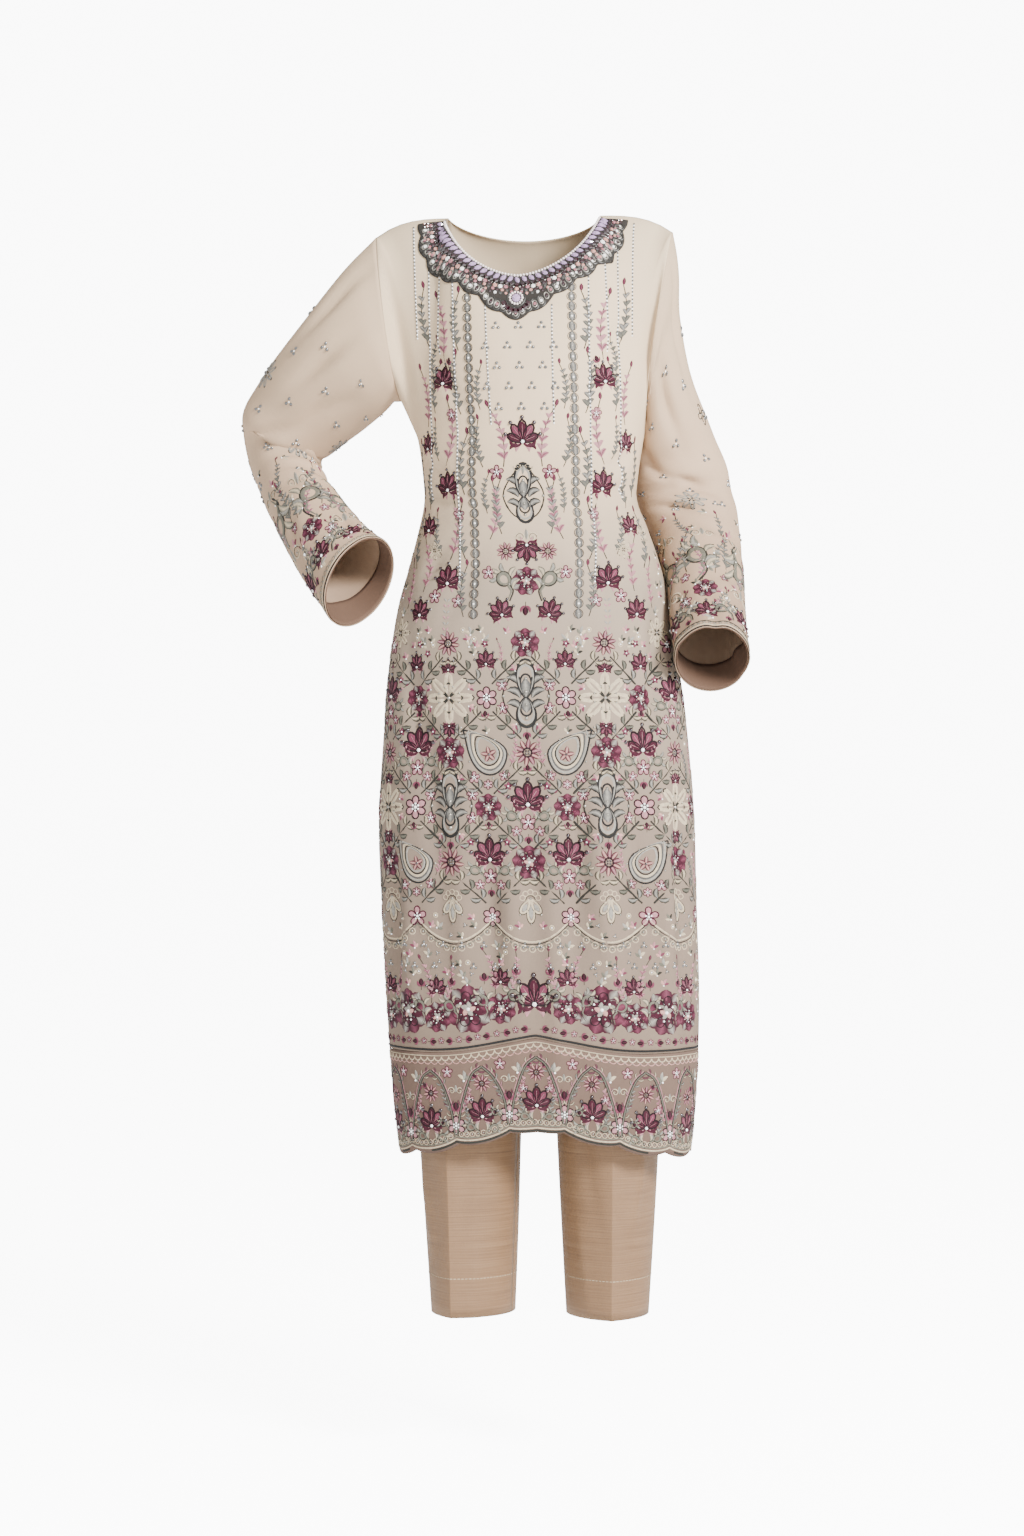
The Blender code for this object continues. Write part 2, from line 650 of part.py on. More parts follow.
def make_trim(name, front_rows):
    """A crescent laid on the front. Its points are found from above and in front, at 45 degrees."""
    count = len(front_rows[0])
    points = [point for row in front_rows for point in row]
    quads = [
        (r * count + c, r * count + c + 1, (r + 1) * count + c + 1, (r + 1) * count + c)
        for r in range(len(front_rows) - 1)
        for c in range(count - 1)
    ]
    surface = BVHTree.FromPolygons(points, quads)
    sight = Vector((0, 1, -1)).normalized()
    rise = Vector((0, 1, 1)).normalized()

    def laid(share, distance):
        """The point of the front at a distance from the neckline, square to the neckline as seen along the sight."""
        along = neckline_point(share + NECK_STEP, FRONT) - neckline_point(share - NECK_STEP, FRONT)
        across, climb = along.dot(rise), -along.x
        away = (Vector((across, 0, 0)) + rise * climb).normalized() * distance
        return surface.ray_cast(neckline_point(share, FRONT) + away - sight, sight)[0]

    reach = 1 - TRIM_START
    shares = [reach * (2 * c / TRIM_STONES - 1) for c in range(TRIM_STONES + 1)]
    places = [[laid(share, TRIM_EDGE + row[0] * trim_width(share)) for share in shares] for row in TRIM_ROWS]
    ups = unit_normals(places, False, lambda r: TRIM_INSIDE)
    base = settled(places, ups, surface)
    outer = []
    for r, (_, raised, even) in enumerate(TRIM_ROWS):
        row = []
        for c in range(TRIM_STONES + 1):
            stone = even is not None and (c % 2 == 0) == even and 0 < c < TRIM_STONES
            row.append(base[r][c] + ups[r][c] * (TRIM_BASE + (raised if stone else 0.0)))
        outer.append(row)
    return make_wall(name, outer, base, "trim")


# ------------------------------------------------------------------ trousers


def trouser_row(level, side, face):
    """One panel's row, from the outer seam round to the inner or middle seam."""
    row = row_at(TROUSERS, TROUSER_COLUMNS, level)
    sweep = math.radians(min(row.sweep, 180))
    depth = row.front if face == FRONT else row.back
    radius = (row.outer - row.inner) / (1 - math.cos(sweep))
    middle = (row.outer + row.inner) / 2
    turned = smooth((TOE_OUT_LEVELS[0] - level) / (TOE_OUT_LEVELS[0] - TOE_OUT_LEVELS[1]))
    yaw = math.radians(TOE_OUT["left" if side > 0 else "right"]) * turned
    points = []
    for c in range(TROUSER_PANEL_COLUMNS + 1):
        part = c / TROUSER_PANEL_COLUMNS
        across = row.outer - radius + radius * math.cos(sweep * part)
        rounded = math.sin(sweep * part)
        pointed = 1 - abs(2 * part - 1)
        out = -depth * (rounded * (1 - row.crease) + pointed * row.crease) * (1 if face == FRONT else -1)
        dx, dy = across - middle, out
        x = middle + dx * math.cos(yaw) - dy * math.sin(yaw)
        y = dx * math.sin(yaw) + dy * math.cos(yaw)
        points.append(Vector((row.centre + side * (x + SEAM / 2), y + face * SEAM / 2, level)))
    return points


def trouser_seams(levels, side, face):
    def neighbour(r, c):
        directions = []
        below_crotch = row_at(TROUSERS, TROUSER_COLUMNS, levels[r]).sweep > WHOLE_LEG
        if c == 0 or (c == TROUSER_PANEL_COLUMNS and below_crotch):
            directions.append(Vector((0, -face, 0)))
        if c == TROUSER_PANEL_COLUMNS and not below_crotch:
            directions.append(Vector((-side, 0, 0)))
        return directions

    return neighbour


def make_trouser_panel(name, side, face):
    levels = [row[0] for row in TROUSERS]
    rows = [trouser_row(level, side, face) for level in levels]

    def inside(r):
        row = TROUSERS[r]
        return Vector((row[1] + side * (row[3] + row[4]) / 2, 0, row[0]))

    inner = moved(rows, -CLOTH, False, inside, trouser_seams(levels, side, face))
    return make_wall(name, rows, inner, "trousers")


def make_waistband(name):
    """A band of double cloth round the top of the trousers, level with their upper edge."""
    top = row_at(TROUSERS, TROUSER_COLUMNS, TROUSERS[0][0])
    rows = []
    for r in range(2):
        level = TROUSERS[0][0] + SEAM + WAISTBAND_HEIGHT * (1 - r)
        row = []
        for c in range(WAISTBAND_COLUMNS):
            angle = 2 * math.pi * c / WAISTBAND_COLUMNS
            depth = top.front if math.sin(angle) > 0 else top.back
            x = top.centre + (top.outer - WAISTBAND_LEAN * (1 - r)) * math.cos(angle)
            row.append(Vector((x, -depth * math.sin(angle), level)))
        rows.append(row)
    inner = moved(rows, -WAISTBAND_THICKNESS, True, ring_middle(rows))
    inner = [[Vector((p.x, p.y, q.z)) for p, q in zip(a, b)] for a, b in zip(inner, rows)]
    return make_wall(name, rows, inner, "trousers", closed=True)


# ------------------------------------------------------------------ the suit


def clear_scene():
    for old in list(bpy.data.objects):
        bpy.data.objects.remove(old, do_unlink=True)


def main():
    clear_scene()
    front_rows = make_panel("yoke_front", "kameez_front", FRONT)
    make_panel("yoke_back", "kameez_back", BACK)
    make_border("border_front", FRONT)
    make_border("border_back", BACK)
    make_trim("neck_trim", front_rows)
    make_sleeve("sleeve_right", "cuff_facing_right", BENT_SLEEVE, BENT_FOLDS, SIDES["right"])
    make_sleeve("sleeve_left", "cuff_facing_left", HANGING_SLEEVE, HANGING_FOLDS, SIDES["left"])
    for name, side in SIDES.items():
        make_trouser_panel(f"trouser_front_{name}", side, FRONT)
        make_trouser_panel(f"trouser_back_{name}", side, BACK)
    make_waistband("trouser_waistband")


main()
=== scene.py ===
# %% [markdown]
# # A salwar kameez suit, worn and with no wearer
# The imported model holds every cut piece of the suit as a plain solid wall: two kameez panels, their
# borders, two sleeves, the jewelled neck trim and the trousers. This lesson gives each piece its cloth, its
# creases and its needlework. The cloth is worked out again from the same few sizes, only finer. The
# needlework is drawn flat, in the coordinates of the cut cloth, and one small node tree lays it on the worn
# shape.
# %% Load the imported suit
import math
from types import SimpleNamespace

import bpy
import numpy as np
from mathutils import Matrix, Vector
from mathutils.bvhtree import BVHTree


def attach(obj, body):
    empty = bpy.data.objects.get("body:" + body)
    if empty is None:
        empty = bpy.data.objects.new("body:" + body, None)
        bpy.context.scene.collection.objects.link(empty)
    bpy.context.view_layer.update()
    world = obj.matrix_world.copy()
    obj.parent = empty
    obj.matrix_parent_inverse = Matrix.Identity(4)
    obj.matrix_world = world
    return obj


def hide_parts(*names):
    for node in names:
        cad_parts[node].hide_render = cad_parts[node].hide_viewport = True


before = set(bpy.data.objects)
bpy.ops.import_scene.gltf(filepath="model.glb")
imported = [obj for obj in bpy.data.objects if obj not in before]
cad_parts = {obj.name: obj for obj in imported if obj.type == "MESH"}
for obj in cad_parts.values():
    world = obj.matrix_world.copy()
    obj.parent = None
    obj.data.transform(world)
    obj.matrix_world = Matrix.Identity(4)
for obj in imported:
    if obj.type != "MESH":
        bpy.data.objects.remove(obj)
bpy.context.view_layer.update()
print("packed pieces:", ", ".join(sorted(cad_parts)))


# %% Short hands for objects and node trees
def in_scene(name, data):
    """A new object of the scene."""
    made = bpy.data.objects.new(name, data)
    bpy.context.scene.collection.objects.link(made)
    return made


class Tree:
    """Short hands for wiring a node tree."""

    def __init__(self, tree):
        self.tree, self.nodes = tree, tree.nodes

    def fill(self, node, sockets):
        """Give sockets of a node a value each, or a link from another node's output."""
        for name, source in sockets.items():
            if isinstance(source, bpy.types.NodeSocket):
                self.tree.links.new(source, node.inputs[name])
            else:
                node.inputs[name].default_value = source

    def add(self, kind, sockets=(), out=0, **settings):
        """Add a node with its settings and sockets, and return one of its outputs."""
        made = self.nodes.new(kind)
        for key, value in settings.items():
            setattr(made, key, value)
        self.fill(made, dict(sockets))
        return made.outputs[out] if made.outputs else made

    def math(self, operation, *values):
        return self.add("ShaderNodeMath", enumerate(values), operation=operation)

    def vector(self, operation, first, second):
        other = "Scale" if operation == "SCALE" else 1
        return self.add("ShaderNodeVectorMath", {0: first, other: second}, operation=operation)


class Finish(Tree):
    """A material around one Principled shader. Its settings are sockets, with _ for a space."""

    def __init__(self, name, **settings):
        self.material = bpy.data.materials.new(name)
        self.material.use_nodes = True
        super().__init__(self.material.node_tree)
        self.set(**settings)

    def set(self, **settings):
        shader = self.nodes["Principled BSDF"]
        self.fill(shader, {socket.replace("_", " "): value for socket, value in settings.items()})


# %% [markdown]
# ## Camera, light and floor
# Clothes are best shown in soft, even light, so that the cloth keeps its true colour. The floor is wide and
# as white as the sky, so there is no line behind the suit from any side. The camera is level, a little to
# the wearer's right.
# %% Camera
CAMERA = SimpleNamespace(place=(0.3311, -3.5848, -0.6414), turn=math.radians(5.5), lens=72.5, film_height=36)

camera = in_scene("camera", bpy.data.cameras.new("camera"))
camera.data.sensor_fit, camera.data.sensor_height = "VERTICAL", CAMERA.film_height
camera.data.lens = CAMERA.lens
camera.location = CAMERA.place
camera.rotation_euler = (math.pi / 2, 0, CAMERA.turn)
bpy.context.scene.camera = camera
print("camera at", CAMERA.place)

# %% A wide pale floor
FLOOR = SimpleNamespace(level=-1.447, radius=60.0, corners=96, paint=(0.92, 0.92, 0.92, 1), glow=0.5)
WHITE, SHOWN_WHITE = (1, 1, 1, 1), 9.0


def pale_paint():
    """White paint that shows as white as the sky, and lights the suit less than it shows."""
    paint = Finish("pale paint", Base_Color=FLOOR.paint, Roughness=0.9, Emission_Color=WHITE)
    seen = paint.add("ShaderNodeLightPath", out="Is Camera Ray")
    glow = paint.add("ShaderNodeMapRange", {"Value": seen, "To Min": FLOOR.glow, "To Max": SHOWN_WHITE})
    paint.set(Emission_Strength=glow)
    return paint.material


angles = 2 * np.pi * np.arange(FLOOR.corners) / FLOOR.corners
rim = [(FLOOR.radius * math.cos(angle), FLOOR.radius * math.sin(angle), FLOOR.level) for angle in angles]
floor = in_scene("studio floor", bpy.data.meshes.new("studio floor"))
floor.data.from_pydata(rim, [], [tuple(range(FLOOR.corners))])
floor.data.materials.append(pale_paint())
print("floor at", FLOOR.level)

# %% Soft light from all round, a white sky behind, and two large lamps
SOFT_LIGHT = 1.1
LIT_PLACE = Vector((0, 0, -0.55))
LAMPS = (
    # name, place, size in metres, watts
    ("key lamp", (2.3, -2.6, 1.2), 1.0, 480),
    ("fill lamp", (-2.4, -2.8, 0.2), 2.2, 20),
)


def studio_sky():
    """A sky that lights the suit softly, and looks as white as the floor."""
    sky = bpy.data.worlds.new("studio sky")
    sky.use_nodes = True
    t = Tree(sky.node_tree)
    soft = t.nodes["Background"]
    t.fill(soft, {"Color": WHITE, "Strength": SOFT_LIGHT})
    white = t.add("ShaderNodeBackground", {"Color": WHITE, "Strength": SHOWN_WHITE + SOFT_LIGHT})
    seen = t.add("ShaderNodeLightPath", out="Is Camera Ray")
    mixed = t.add("ShaderNodeMixShader", {0: seen, 1: soft.outputs[0], 2: white})
    t.fill(t.nodes["World Output"], {"Surface": mixed})
    return sky


bpy.context.scene.world = studio_sky()
for name, place, size, power in LAMPS:
    lamp = in_scene(name, bpy.data.lights.new(name, "AREA"))
    lamp.data.size, lamp.data.energy = size, power
    lamp.location = place
    lamp.rotation_euler = (LIT_PLACE - Vector(place)).to_track_quat("-Z", "Y").to_euler()
    print(name, power, "W")

# %% [markdown]
# ## Small mathematics
# A pattern cutter works from a few measurements and joins them with smooth curves. The tables here do the
# same: a row for each place that was measured, and a smooth curve through the rows for every place between.
# %% Tables, and smooth curves through them
MM = 0.001
FRONT, BACK = -1, 1
FACES = {FRONT: "front", BACK: "back"}
SIDES = {"right": -1, "left": 1}


def words(text):
    """The rows of a table written as text. A row ends with its line or with a semicolon."""
    return [row.split() for row in text.strip().replace(";", "\n").splitlines()]


def table(columns, text):
    """Rows of numbers. A column marked ,mm is written in millimetres and read in metres."""
    return np.array(words(text), float) * [MM if column.endswith(",mm") else 1 for column in columns.split()]


def named(columns, text):
    """A table whose columns are read by name. The first column holds the places, and is put in order."""
    rows = table(columns, text)
    names = [column.removesuffix(",mm") for column in columns.split()]
    return dict(zip(names, rows[rows[:, 0].argsort()].T))


def smooth(value):
    """0 below 0, 1 above 1, and an even rise between."""
    value = np.clip(value, 0.0, 1.0)
    return value * value * (3 - 2 * value)


def curve(keys, values, at):
    """A smooth curve through values at rising keys, read at many places."""
    at = np.clip(at, keys[0], keys[-1])
    last = len(keys) - 1
    i = np.clip(np.searchsorted(keys, at) - 1, 0, last - 1)
    before, after = np.maximum(np.arange(last + 1) - 1, 0), np.minimum(np.arange(last + 1) + 1, last)
    slope = (values[after] - values[before]) / (keys[after] - keys[before])
    span = keys[i + 1] - keys[i]
    t = (at - keys[i]) / span
    start = (2 * t**3 - 3 * t**2 + 1) * values[i] + (t**3 - 2 * t**2 + t) * span * slope[i]
    return start + (3 * t**2 - 2 * t**3) * values[i + 1] + (t**3 - t**2) * span * slope[i + 1]


def read(measured, at):
    """Every column of a named table, at many places of its first column."""
    keys = next(iter(measured.values()))
    return SimpleNamespace(**{name: curve(keys, values, at) for name, values in measured.items()})


def unit(vectors):
    return vectors / np.maximum(np.linalg.norm(vectors, axis=-1, keepdims=True), 1e-12)


def run_along(points):
    """The length run at each point of a line, or at each point along every row of a grid."""
    steps = np.linalg.norm(np.diff(points, axis=-2), axis=-1)
    return np.concatenate([np.zeros((*steps.shape[:-1], 1)), np.cumsum(steps, axis=-1)], axis=-1)


# %% [markdown]
# ## The cut of the kameez
# The kameez is two panels, front and back, sewn at the shoulders and down the sides to the slits. Below the
# chest each level is a rounded box; above it, the yoke runs from that level up to the armholes, the
# shoulders and the neckline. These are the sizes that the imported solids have.
# %% Sizes of the kameez
SEAM = 0.0003
NECK = SimpleNamespace(half_width=0.0885, drop=0.0805, reach=0.078, roundness=1.75, level=0.58)
NECK_BACK = SimpleNamespace(drop=0.018, reach=0.060, power=1.5)
SHOULDER_TIP, SHOULDER_ROUNDNESS = (0.1730, -0.0210), 3.0
ARMPIT, ARMHOLE_HALF_DEPTH = (0.1440, -0.2130), 0.051
ARMHOLE_EGG, ARMHOLE_EGG_END = 0.30, 0.25
CHEST_LEVEL = -0.262
SLIT_TOP, SLIT_SHARE = -0.520, 0.030
BORDER_SEAM = SimpleNamespace(middle=-0.9465, drop=0.0185, reach=0.130)
HEM = SimpleNamespace(middle=-1.0530, drop=0.0335, reach=0.200)
DIP_POWER = 1.2
SCALLOP_REPEAT, SCALLOP_DEPTH, SCALLOP_POWER = 0.0625, 0.0060, 0.7
CHEST_SHARE = SimpleNamespace(tip=0.73, neck=0.59)
YOKE_HOLD = 0.6
CHEST_BLEND = SimpleNamespace(rows=7, rounds=14)
FINE = SimpleNamespace(armhole=16, shoulder=6, half_neck=20, yoke=34, body=92, section=96)

BODY = named(
    "level,mm centre,mm half_width,mm front,mm back,mm squareness",
    """
    -262   8.5 130.5 106  86 2.20
    -310   7.2 123.6  94  77 2.20
    -335   8.0 124.5  92  76 2.20
    -360  10.5 132.0  94  80 2.20
    -410  12.5 147.0 100  93 2.20
    -450  11.7 157.5 106 106 2.25
    -500  11.2 165.5 109 118 2.30
    -560  12.3 172.9 110 125 2.30
    -620  13.8 178.0 110 127 2.35
    -700  14.6 183.4 110 127 2.40
    -800  17.6 183.0 109 125 2.45
    -900  21.5 182.0 107 122 2.50
    -1000 23.8 177.5 105 118 2.50
    -1090 25.0 169.0 102 113 2.50
    """,
)
YOKE = named(
    "share spread round_front round_back fullness_front,mm fullness_back,mm",
    """
    0.00 0.00 0.20 0.50 18 18
    0.30 0.80 0.50 0.90 17 16
    0.59 2.20 0.80 1.20 14 13
    0.73 0.40 0.85 1.10 12 11
    0.86 0.00 0.45 0.55  7  7
    1.00 0.00 0.00 0.00  0  0
    """,
)


# %% Levels of the kameez, measured along the cloth
def dip(line, away):
    """The height of the border seam or the hem at a distance along the panel from its middle."""
    return line.middle - line.drop * np.sin(np.minimum(np.abs(away) / line.reach, 1) * np.pi / 2) ** DIP_POWER


def sections(level, face):
    """The outlines at many levels, from the right side seam to the left one, and the length along each."""
    size = read(BODY, level[:, None])
    power = 2 / size.squareness
    angle = np.pi * (np.arange(FINE.section + 1) / FINE.section - 0.5)
    x = size.centre + np.sign(angle) * np.abs(np.sin(angle)) ** power * size.half_width
    y = face * np.clip(np.cos(angle), 0, None) ** power * (size.front if face == FRONT else size.back)
    return x, y, run_along(np.stack([x, y], axis=-1))


def below_chest(level, share, face):
    """Points of a panel and the distance of each from its middle. share is -1 to 1 across the panel."""
    level, share = np.broadcast_arrays(level, share)
    shape, level, share = level.shape, level.ravel(), share.ravel()
    x, y, run = sections(level, face)
    opened = SLIT_SHARE * smooth((SLIT_TOP - level) / (SLIT_TOP - HEM.middle))
    half = run[:, -1] / 2
    away = share * (1 - opened) * half
    want = away + half
    i = np.clip((run < want[:, None]).sum(axis=1) - 1, 0, FINE.section - 1)
    row = np.arange(len(want))
    part = (want - run[row, i]) / (run[row, i + 1] - run[row, i])
    px, py = (line[row, i] + (line[row, i + 1] - line[row, i]) * part for line in (x, y))
    return np.stack([px, py, level], axis=1).reshape(*shape, 3), away.reshape(shape)


def half_length(level, face):
    return sections(np.array([float(level)]), face)[2][0, -1] / 2


print("half panel at the border seam:", round(half_length(BORDER_SEAM.middle, FRONT), 4), "m")


# %% The panel's upper edge: armhole, shoulder and neckline
def neckline_point(share, face):
    """A point of the neckline. share is -1 at the right neck point, 0 in the middle, 1 at the left one."""
    angle = math.pi / 2 * (1 - abs(share))
    across, down = math.copysign(math.cos(angle), share), math.sin(angle)
    if face == BACK:
        return (NECK.half_width * across, NECK_BACK.reach * down, -NECK_BACK.drop * down**NECK_BACK.power)
    across = math.copysign(abs(across) ** (2 / NECK.roundness), share)
    down = down ** (2 / NECK.roundness)
    return (NECK.half_width * across, -NECK.reach * down**NECK.level, -NECK.drop * down)


def armhole_point(angle, face):
    part = (1 - math.cos(angle)) / 2
    x, z = (tip + (pit - tip) * part for tip, pit in zip(SHOULDER_TIP, ARMPIT))
    return (x, face * ARMHOLE_HALF_DEPTH * math.sin(angle) * (1 - ARMHOLE_EGG * math.cos(angle)), z)


def shoulder_point(part):
    x = NECK.half_width + (SHOULDER_TIP[0] - NECK.half_width) * part
    return (x, 0, SHOULDER_TIP[1] * part**SHOULDER_ROUNDNESS)


def upper_edge(face):
    """The edge's points from the right armpit to the left one, and the share of the panel below each."""
    stretches = (
        # points, the stretch from outside inwards, the shares at its two ends
        (FINE.armhole, lambda part: armhole_point(math.pi * (1 - part), face), 1, CHEST_SHARE.tip),
        (FINE.shoulder, lambda part: shoulder_point(1 - part), CHEST_SHARE.tip, CHEST_SHARE.neck),
        (FINE.half_neck, lambda part: neckline_point(1 - part, face), CHEST_SHARE.neck, 0),
    )
    half = [
        (*line(i / count), start + (end - start) * i / count)
        for count, line, start, end in stretches
        for i in range(count)
    ]
    half = np.array(half + [(*neckline_point(0, face), 0)])
    edge = np.concatenate([half * (-1, 1, 1, -1), half[-2::-1]])
    return edge[:, :3], edge[:, 3]


# %% The whole panel, as a grid of points and their places in the flat cut
def kameez_panel(face):
    """The panel's grid, and for each point its flat place: distance from the middle, and level."""
    top, shares = upper_edge(face)
    yoke = read(YOKE, np.abs(shares))
    rounding, fullness = yoke.round_back, yoke.fullness_back
    if face == FRONT:
        rounding, fullness = yoke.round_front, yoke.fullness_front
    chest, chest_away = below_chest(np.array([CHEST_LEVEL]), shares, face)
    part = (np.arange(FINE.yoke) / FINE.yoke)[:, None]
    aside = 1 - (1 - part) ** (1 + yoke.spread)
    out = 1 - (1 - part) ** (1 + rounding)
    down = part ** (1 + YOKE_HOLD * rounding)
    upper = top + (chest - top) * np.stack([aside, out, down], axis=2)
    upper[:, :, 1] += face * fullness * 4 * part * (1 - part)
    centre = read(BODY, CHEST_LEVEL).centre
    from_centre = chest[:, 0] - centre
    stretch = np.where(np.abs(from_centre) > 1e-4, chest_away / np.where(from_centre == 0, 1, from_centre), 1)
    upper_away = (upper[:, :, 0] - centre * part) * (1 + (stretch - 1) * part)
    away = shares * half_length(BORDER_SEAM.middle, face)
    part = (np.arange(FINE.body + 1) / FINE.body)[:, None]
    level = CHEST_LEVEL + (dip(BORDER_SEAM, away) - CHEST_LEVEL) * part
    lower, lower_away = below_chest(level, shares, face)
    grid = np.concatenate([upper, lower])
    grid[:, :, 1] += face * SEAM / 2
    first, last = FINE.yoke - CHEST_BLEND.rows, FINE.yoke + CHEST_BLEND.rows + 1
    for _ in range(CHEST_BLEND.rounds):
        above, near, under = (grid[first + step : last + step, 1:-1] for step in (-1, 0, 1))
        grid[first:last, 1:-1] = (near * 2 + above + under) / 4
    return grid, np.stack([np.concatenate([upper_away, lower_away]), grid[:, :, 2]], axis=2)


# %% [markdown]
# ## From a grid to a cloth
# Every piece is a sheet of cloth, so each one is a grid of points that knows its own flat cut: the grid's
# UV map "cut" holds, in metres, where each point was before the piece was sewn. The "up" direction at each
# point is kept too, because needlework stands on the cloth.
# %% Grids, normals and cloth objects
PIECES = {}
ON_CLOTH = {}  # the needlework on each cloth, by the name of the cloth
CUTS = {}  # the flat cut of each cloth, by its name


def grid_normals(grid, closed=False):
    """Unit normals that point away from the middle of each row."""
    along = np.roll(grid, -1, axis=1) - np.roll(grid, 1, axis=1) if closed else np.gradient(grid, axis=1)
    normals = unit(np.cross(np.gradient(grid, axis=0), along))
    return normals * np.sign((normals * (grid - grid.mean(axis=1, keepdims=True))).sum())


def mesh_from(name, points, quads=None):
    """A smooth mesh from arrays of points and four-cornered faces, or of points alone."""
    mesh = bpy.data.meshes.new(name)
    mesh.vertices.add(len(points))
    mesh.vertices.foreach_set("co", np.asarray(points, np.float32).ravel())
    if quads is not None:
        mesh.loops.add(quads.size)
        mesh.loops.foreach_set("vertex_index", np.asarray(quads, np.int32).ravel())
        mesh.polygons.add(len(quads))
        mesh.polygons.foreach_set("loop_start", np.arange(0, quads.size, 4, dtype=np.int32))
        mesh.update(calc_edges=True)
        mesh.shade_smooth()
    return mesh


def give(mesh, name, values):
    """Store one vector for each point."""
    layer = mesh.attributes.new(name, "FLOAT_VECTOR", "POINT")
    layer.data.foreach_set("vector", np.asarray(values, np.float32).ravel())


def grid_quads(rows, columns, closed=False):
    r, c = np.meshgrid(np.arange(rows - 1), np.arange(columns if closed else columns - 1), indexing="ij")
    first, after = (r * columns + c).ravel(), (r * columns + (c + 1) % columns).ravel()
    return np.stack([first, first + columns, after + columns, after], axis=1)


def make_cloth(name, grid, cut, closed=False):
    """A cloth object. On a closed grid, cut has one column more, where the tube was sewn shut."""
    rows, columns = grid.shape[:2]
    quads = grid_quads(rows, columns, closed)
    normals = grid_normals(grid, closed)
    points = grid.reshape(-1, 3)
    corner = points[quads]
    facing = np.cross(corner[:, 2] - corner[:, 0], corner[:, 3] - corner[:, 1])
    if (facing * normals.reshape(-1, 3)[quads[:, 0]]).sum() < 0:
        quads = quads[:, ::-1]
    mesh = mesh_from(name, points, quads)
    give(mesh, "up", normals)
    r, c = np.divmod(quads, columns)
    wraps = (c == 0) & (c.max(axis=1, keepdims=True) == columns - 1) & closed
    places = cut[r, np.where(wraps, columns, c)]
    mesh.uv_layers.new(name="cut").data.foreach_set("uv", places.astype(np.float32).ravel())
    PIECES[name], CUTS[name] = in_scene(name, mesh), cut
    print(f"{name}: {len(points)} points")


# %% [markdown]
# ## Creases
# A worn cloth is never smooth. Chiffon over a lining hangs in long soft folds below the waist, pulls in
# short slanting lines at the bust and gathers inside the elbow. Each crease is given as a line on
# the flat cut with a length, a width and a depth. A trough is below the cloth, and a ridge, with a negative
# depth, above it. Slow waves along each line keep its edges uneven.
# %% Creases laid on a grid
CREASE = "across,mm level,mm turn length,mm width,mm depth,mm"
CREASE_STRENGTH = 2.4
UNEVEN = SimpleNamespace(bend=0.22, bend_wave=2.3, depth=0.35, depth_wave=3.1, fade=1.6)


def creased(grid, cut, normals, creases):
    """The grid with each crease pressed in along its normals."""
    u, v = cut[..., 0], cut[..., 1]
    total = np.zeros(u.shape)
    for number, (across, level, turn, length, width, depth) in enumerate(creases):
        c, s = math.cos(math.radians(turn)), math.sin(math.radians(turn))
        place = ((u - across) * c + (v - level) * s) / (length / 2)
        bend = UNEVEN.bend * width * np.sin(UNEVEN.bend_wave * place + number)
        aside = (v - level) * c - (u - across) * s - bend
        strong = 1 + UNEVEN.depth * np.sin(UNEVEN.depth_wave * place + 2 * number)
        total += depth * strong * np.exp(-UNEVEN.fade * place**2 - (aside / width) ** 2)
    return grid - normals * CREASE_STRENGTH * total[..., None]


# how a crease's partner on the other side differs from it, column by column
PARTNER_SCALE, PARTNER_SHIFT = (-0.94, 1, -1, 0.88, 1.1, 0.85), (0, -0.009, 180, 0, 0, 0)


def both_sides(text, middle):
    """Creases with their mirrored partners, a little apart in place and depth, and those of the middle."""
    rows = table(CREASE, text)
    partners = rows * PARTNER_SCALE + PARTNER_SHIFT
    return np.concatenate([np.stack([rows, partners], axis=1).reshape(-1, 6), table(CREASE, middle)])


KAMEEZ_CREASES = {
    FRONT: both_sides(
        """
        105 -170 62  90 6 2.2;  88 -205  48  80 5 1.6; 120 -290  25  60 6 2.2; 112 -325   8  70 6 2.4
         98 -352 -8  80 7 2.0;  60 -338 -14  60 6 1.2; 118 -395 -35  90 8 2.0;  80 -430 -62 120 9 1.6
        150 -560 84 260 12 3.2; 118 -690 88 420 11 2.8; 82 -760 92 360 10 -2.2; 52 -800 89 340 11 3.0
        22 -840 91 300 10 -2.0; 160 -800 87 300 12 -2.6; 183 -820 92 320 11 3.0
        """,
        "4 -700 90 300 12 1.8; -10 -345 4 90 7 1.2",
    ),
    BACK: both_sides(
        """
        100 -130 66 100 7 2.2;  60 -190  78  90 8 1.4; 115 -300  22  70 6 2.4;  98 -330   6  90 7 2.8
         60 -352 -9 100 7 2.4; 104 -375 -18  90 8 2.2; 140 -520 84 240 12 3.0; 104 -700 88 400 12 -2.6
        70 -740 91 420 12 3.4; 36 -790 89 340 11 -2.4; 168 -800 88 300 12 3.0
        """,
        "6 -760 91 360 12 2.6; 0 -322 2 110 7 2.2",
    ),
}

panel_grids = {}
for face, name in FACES.items():
    grid, cut = kameez_panel(face)
    panel_grids[face] = creased(grid, cut, grid_normals(grid), KAMEEZ_CREASES[face])
    make_cloth(f"kameez_{name}_cloth", panel_grids[face], cut)

# %% [markdown]
# ## The border
# The border is its own band of stiffer organza, sewn on under the last row of flowers and cut in small
# scallops at the hem. It carries on the folds of the kameez above it.
# %% Border bands
BORDER_GRID = SimpleNamespace(columns=136, rows=14)


def scallop(away):
    """How far the hem's edge is raised between the lobes of its scallops."""
    return SCALLOP_DEPTH * (1 - np.abs(np.cos(np.pi * away / SCALLOP_REPEAT)) ** SCALLOP_POWER)


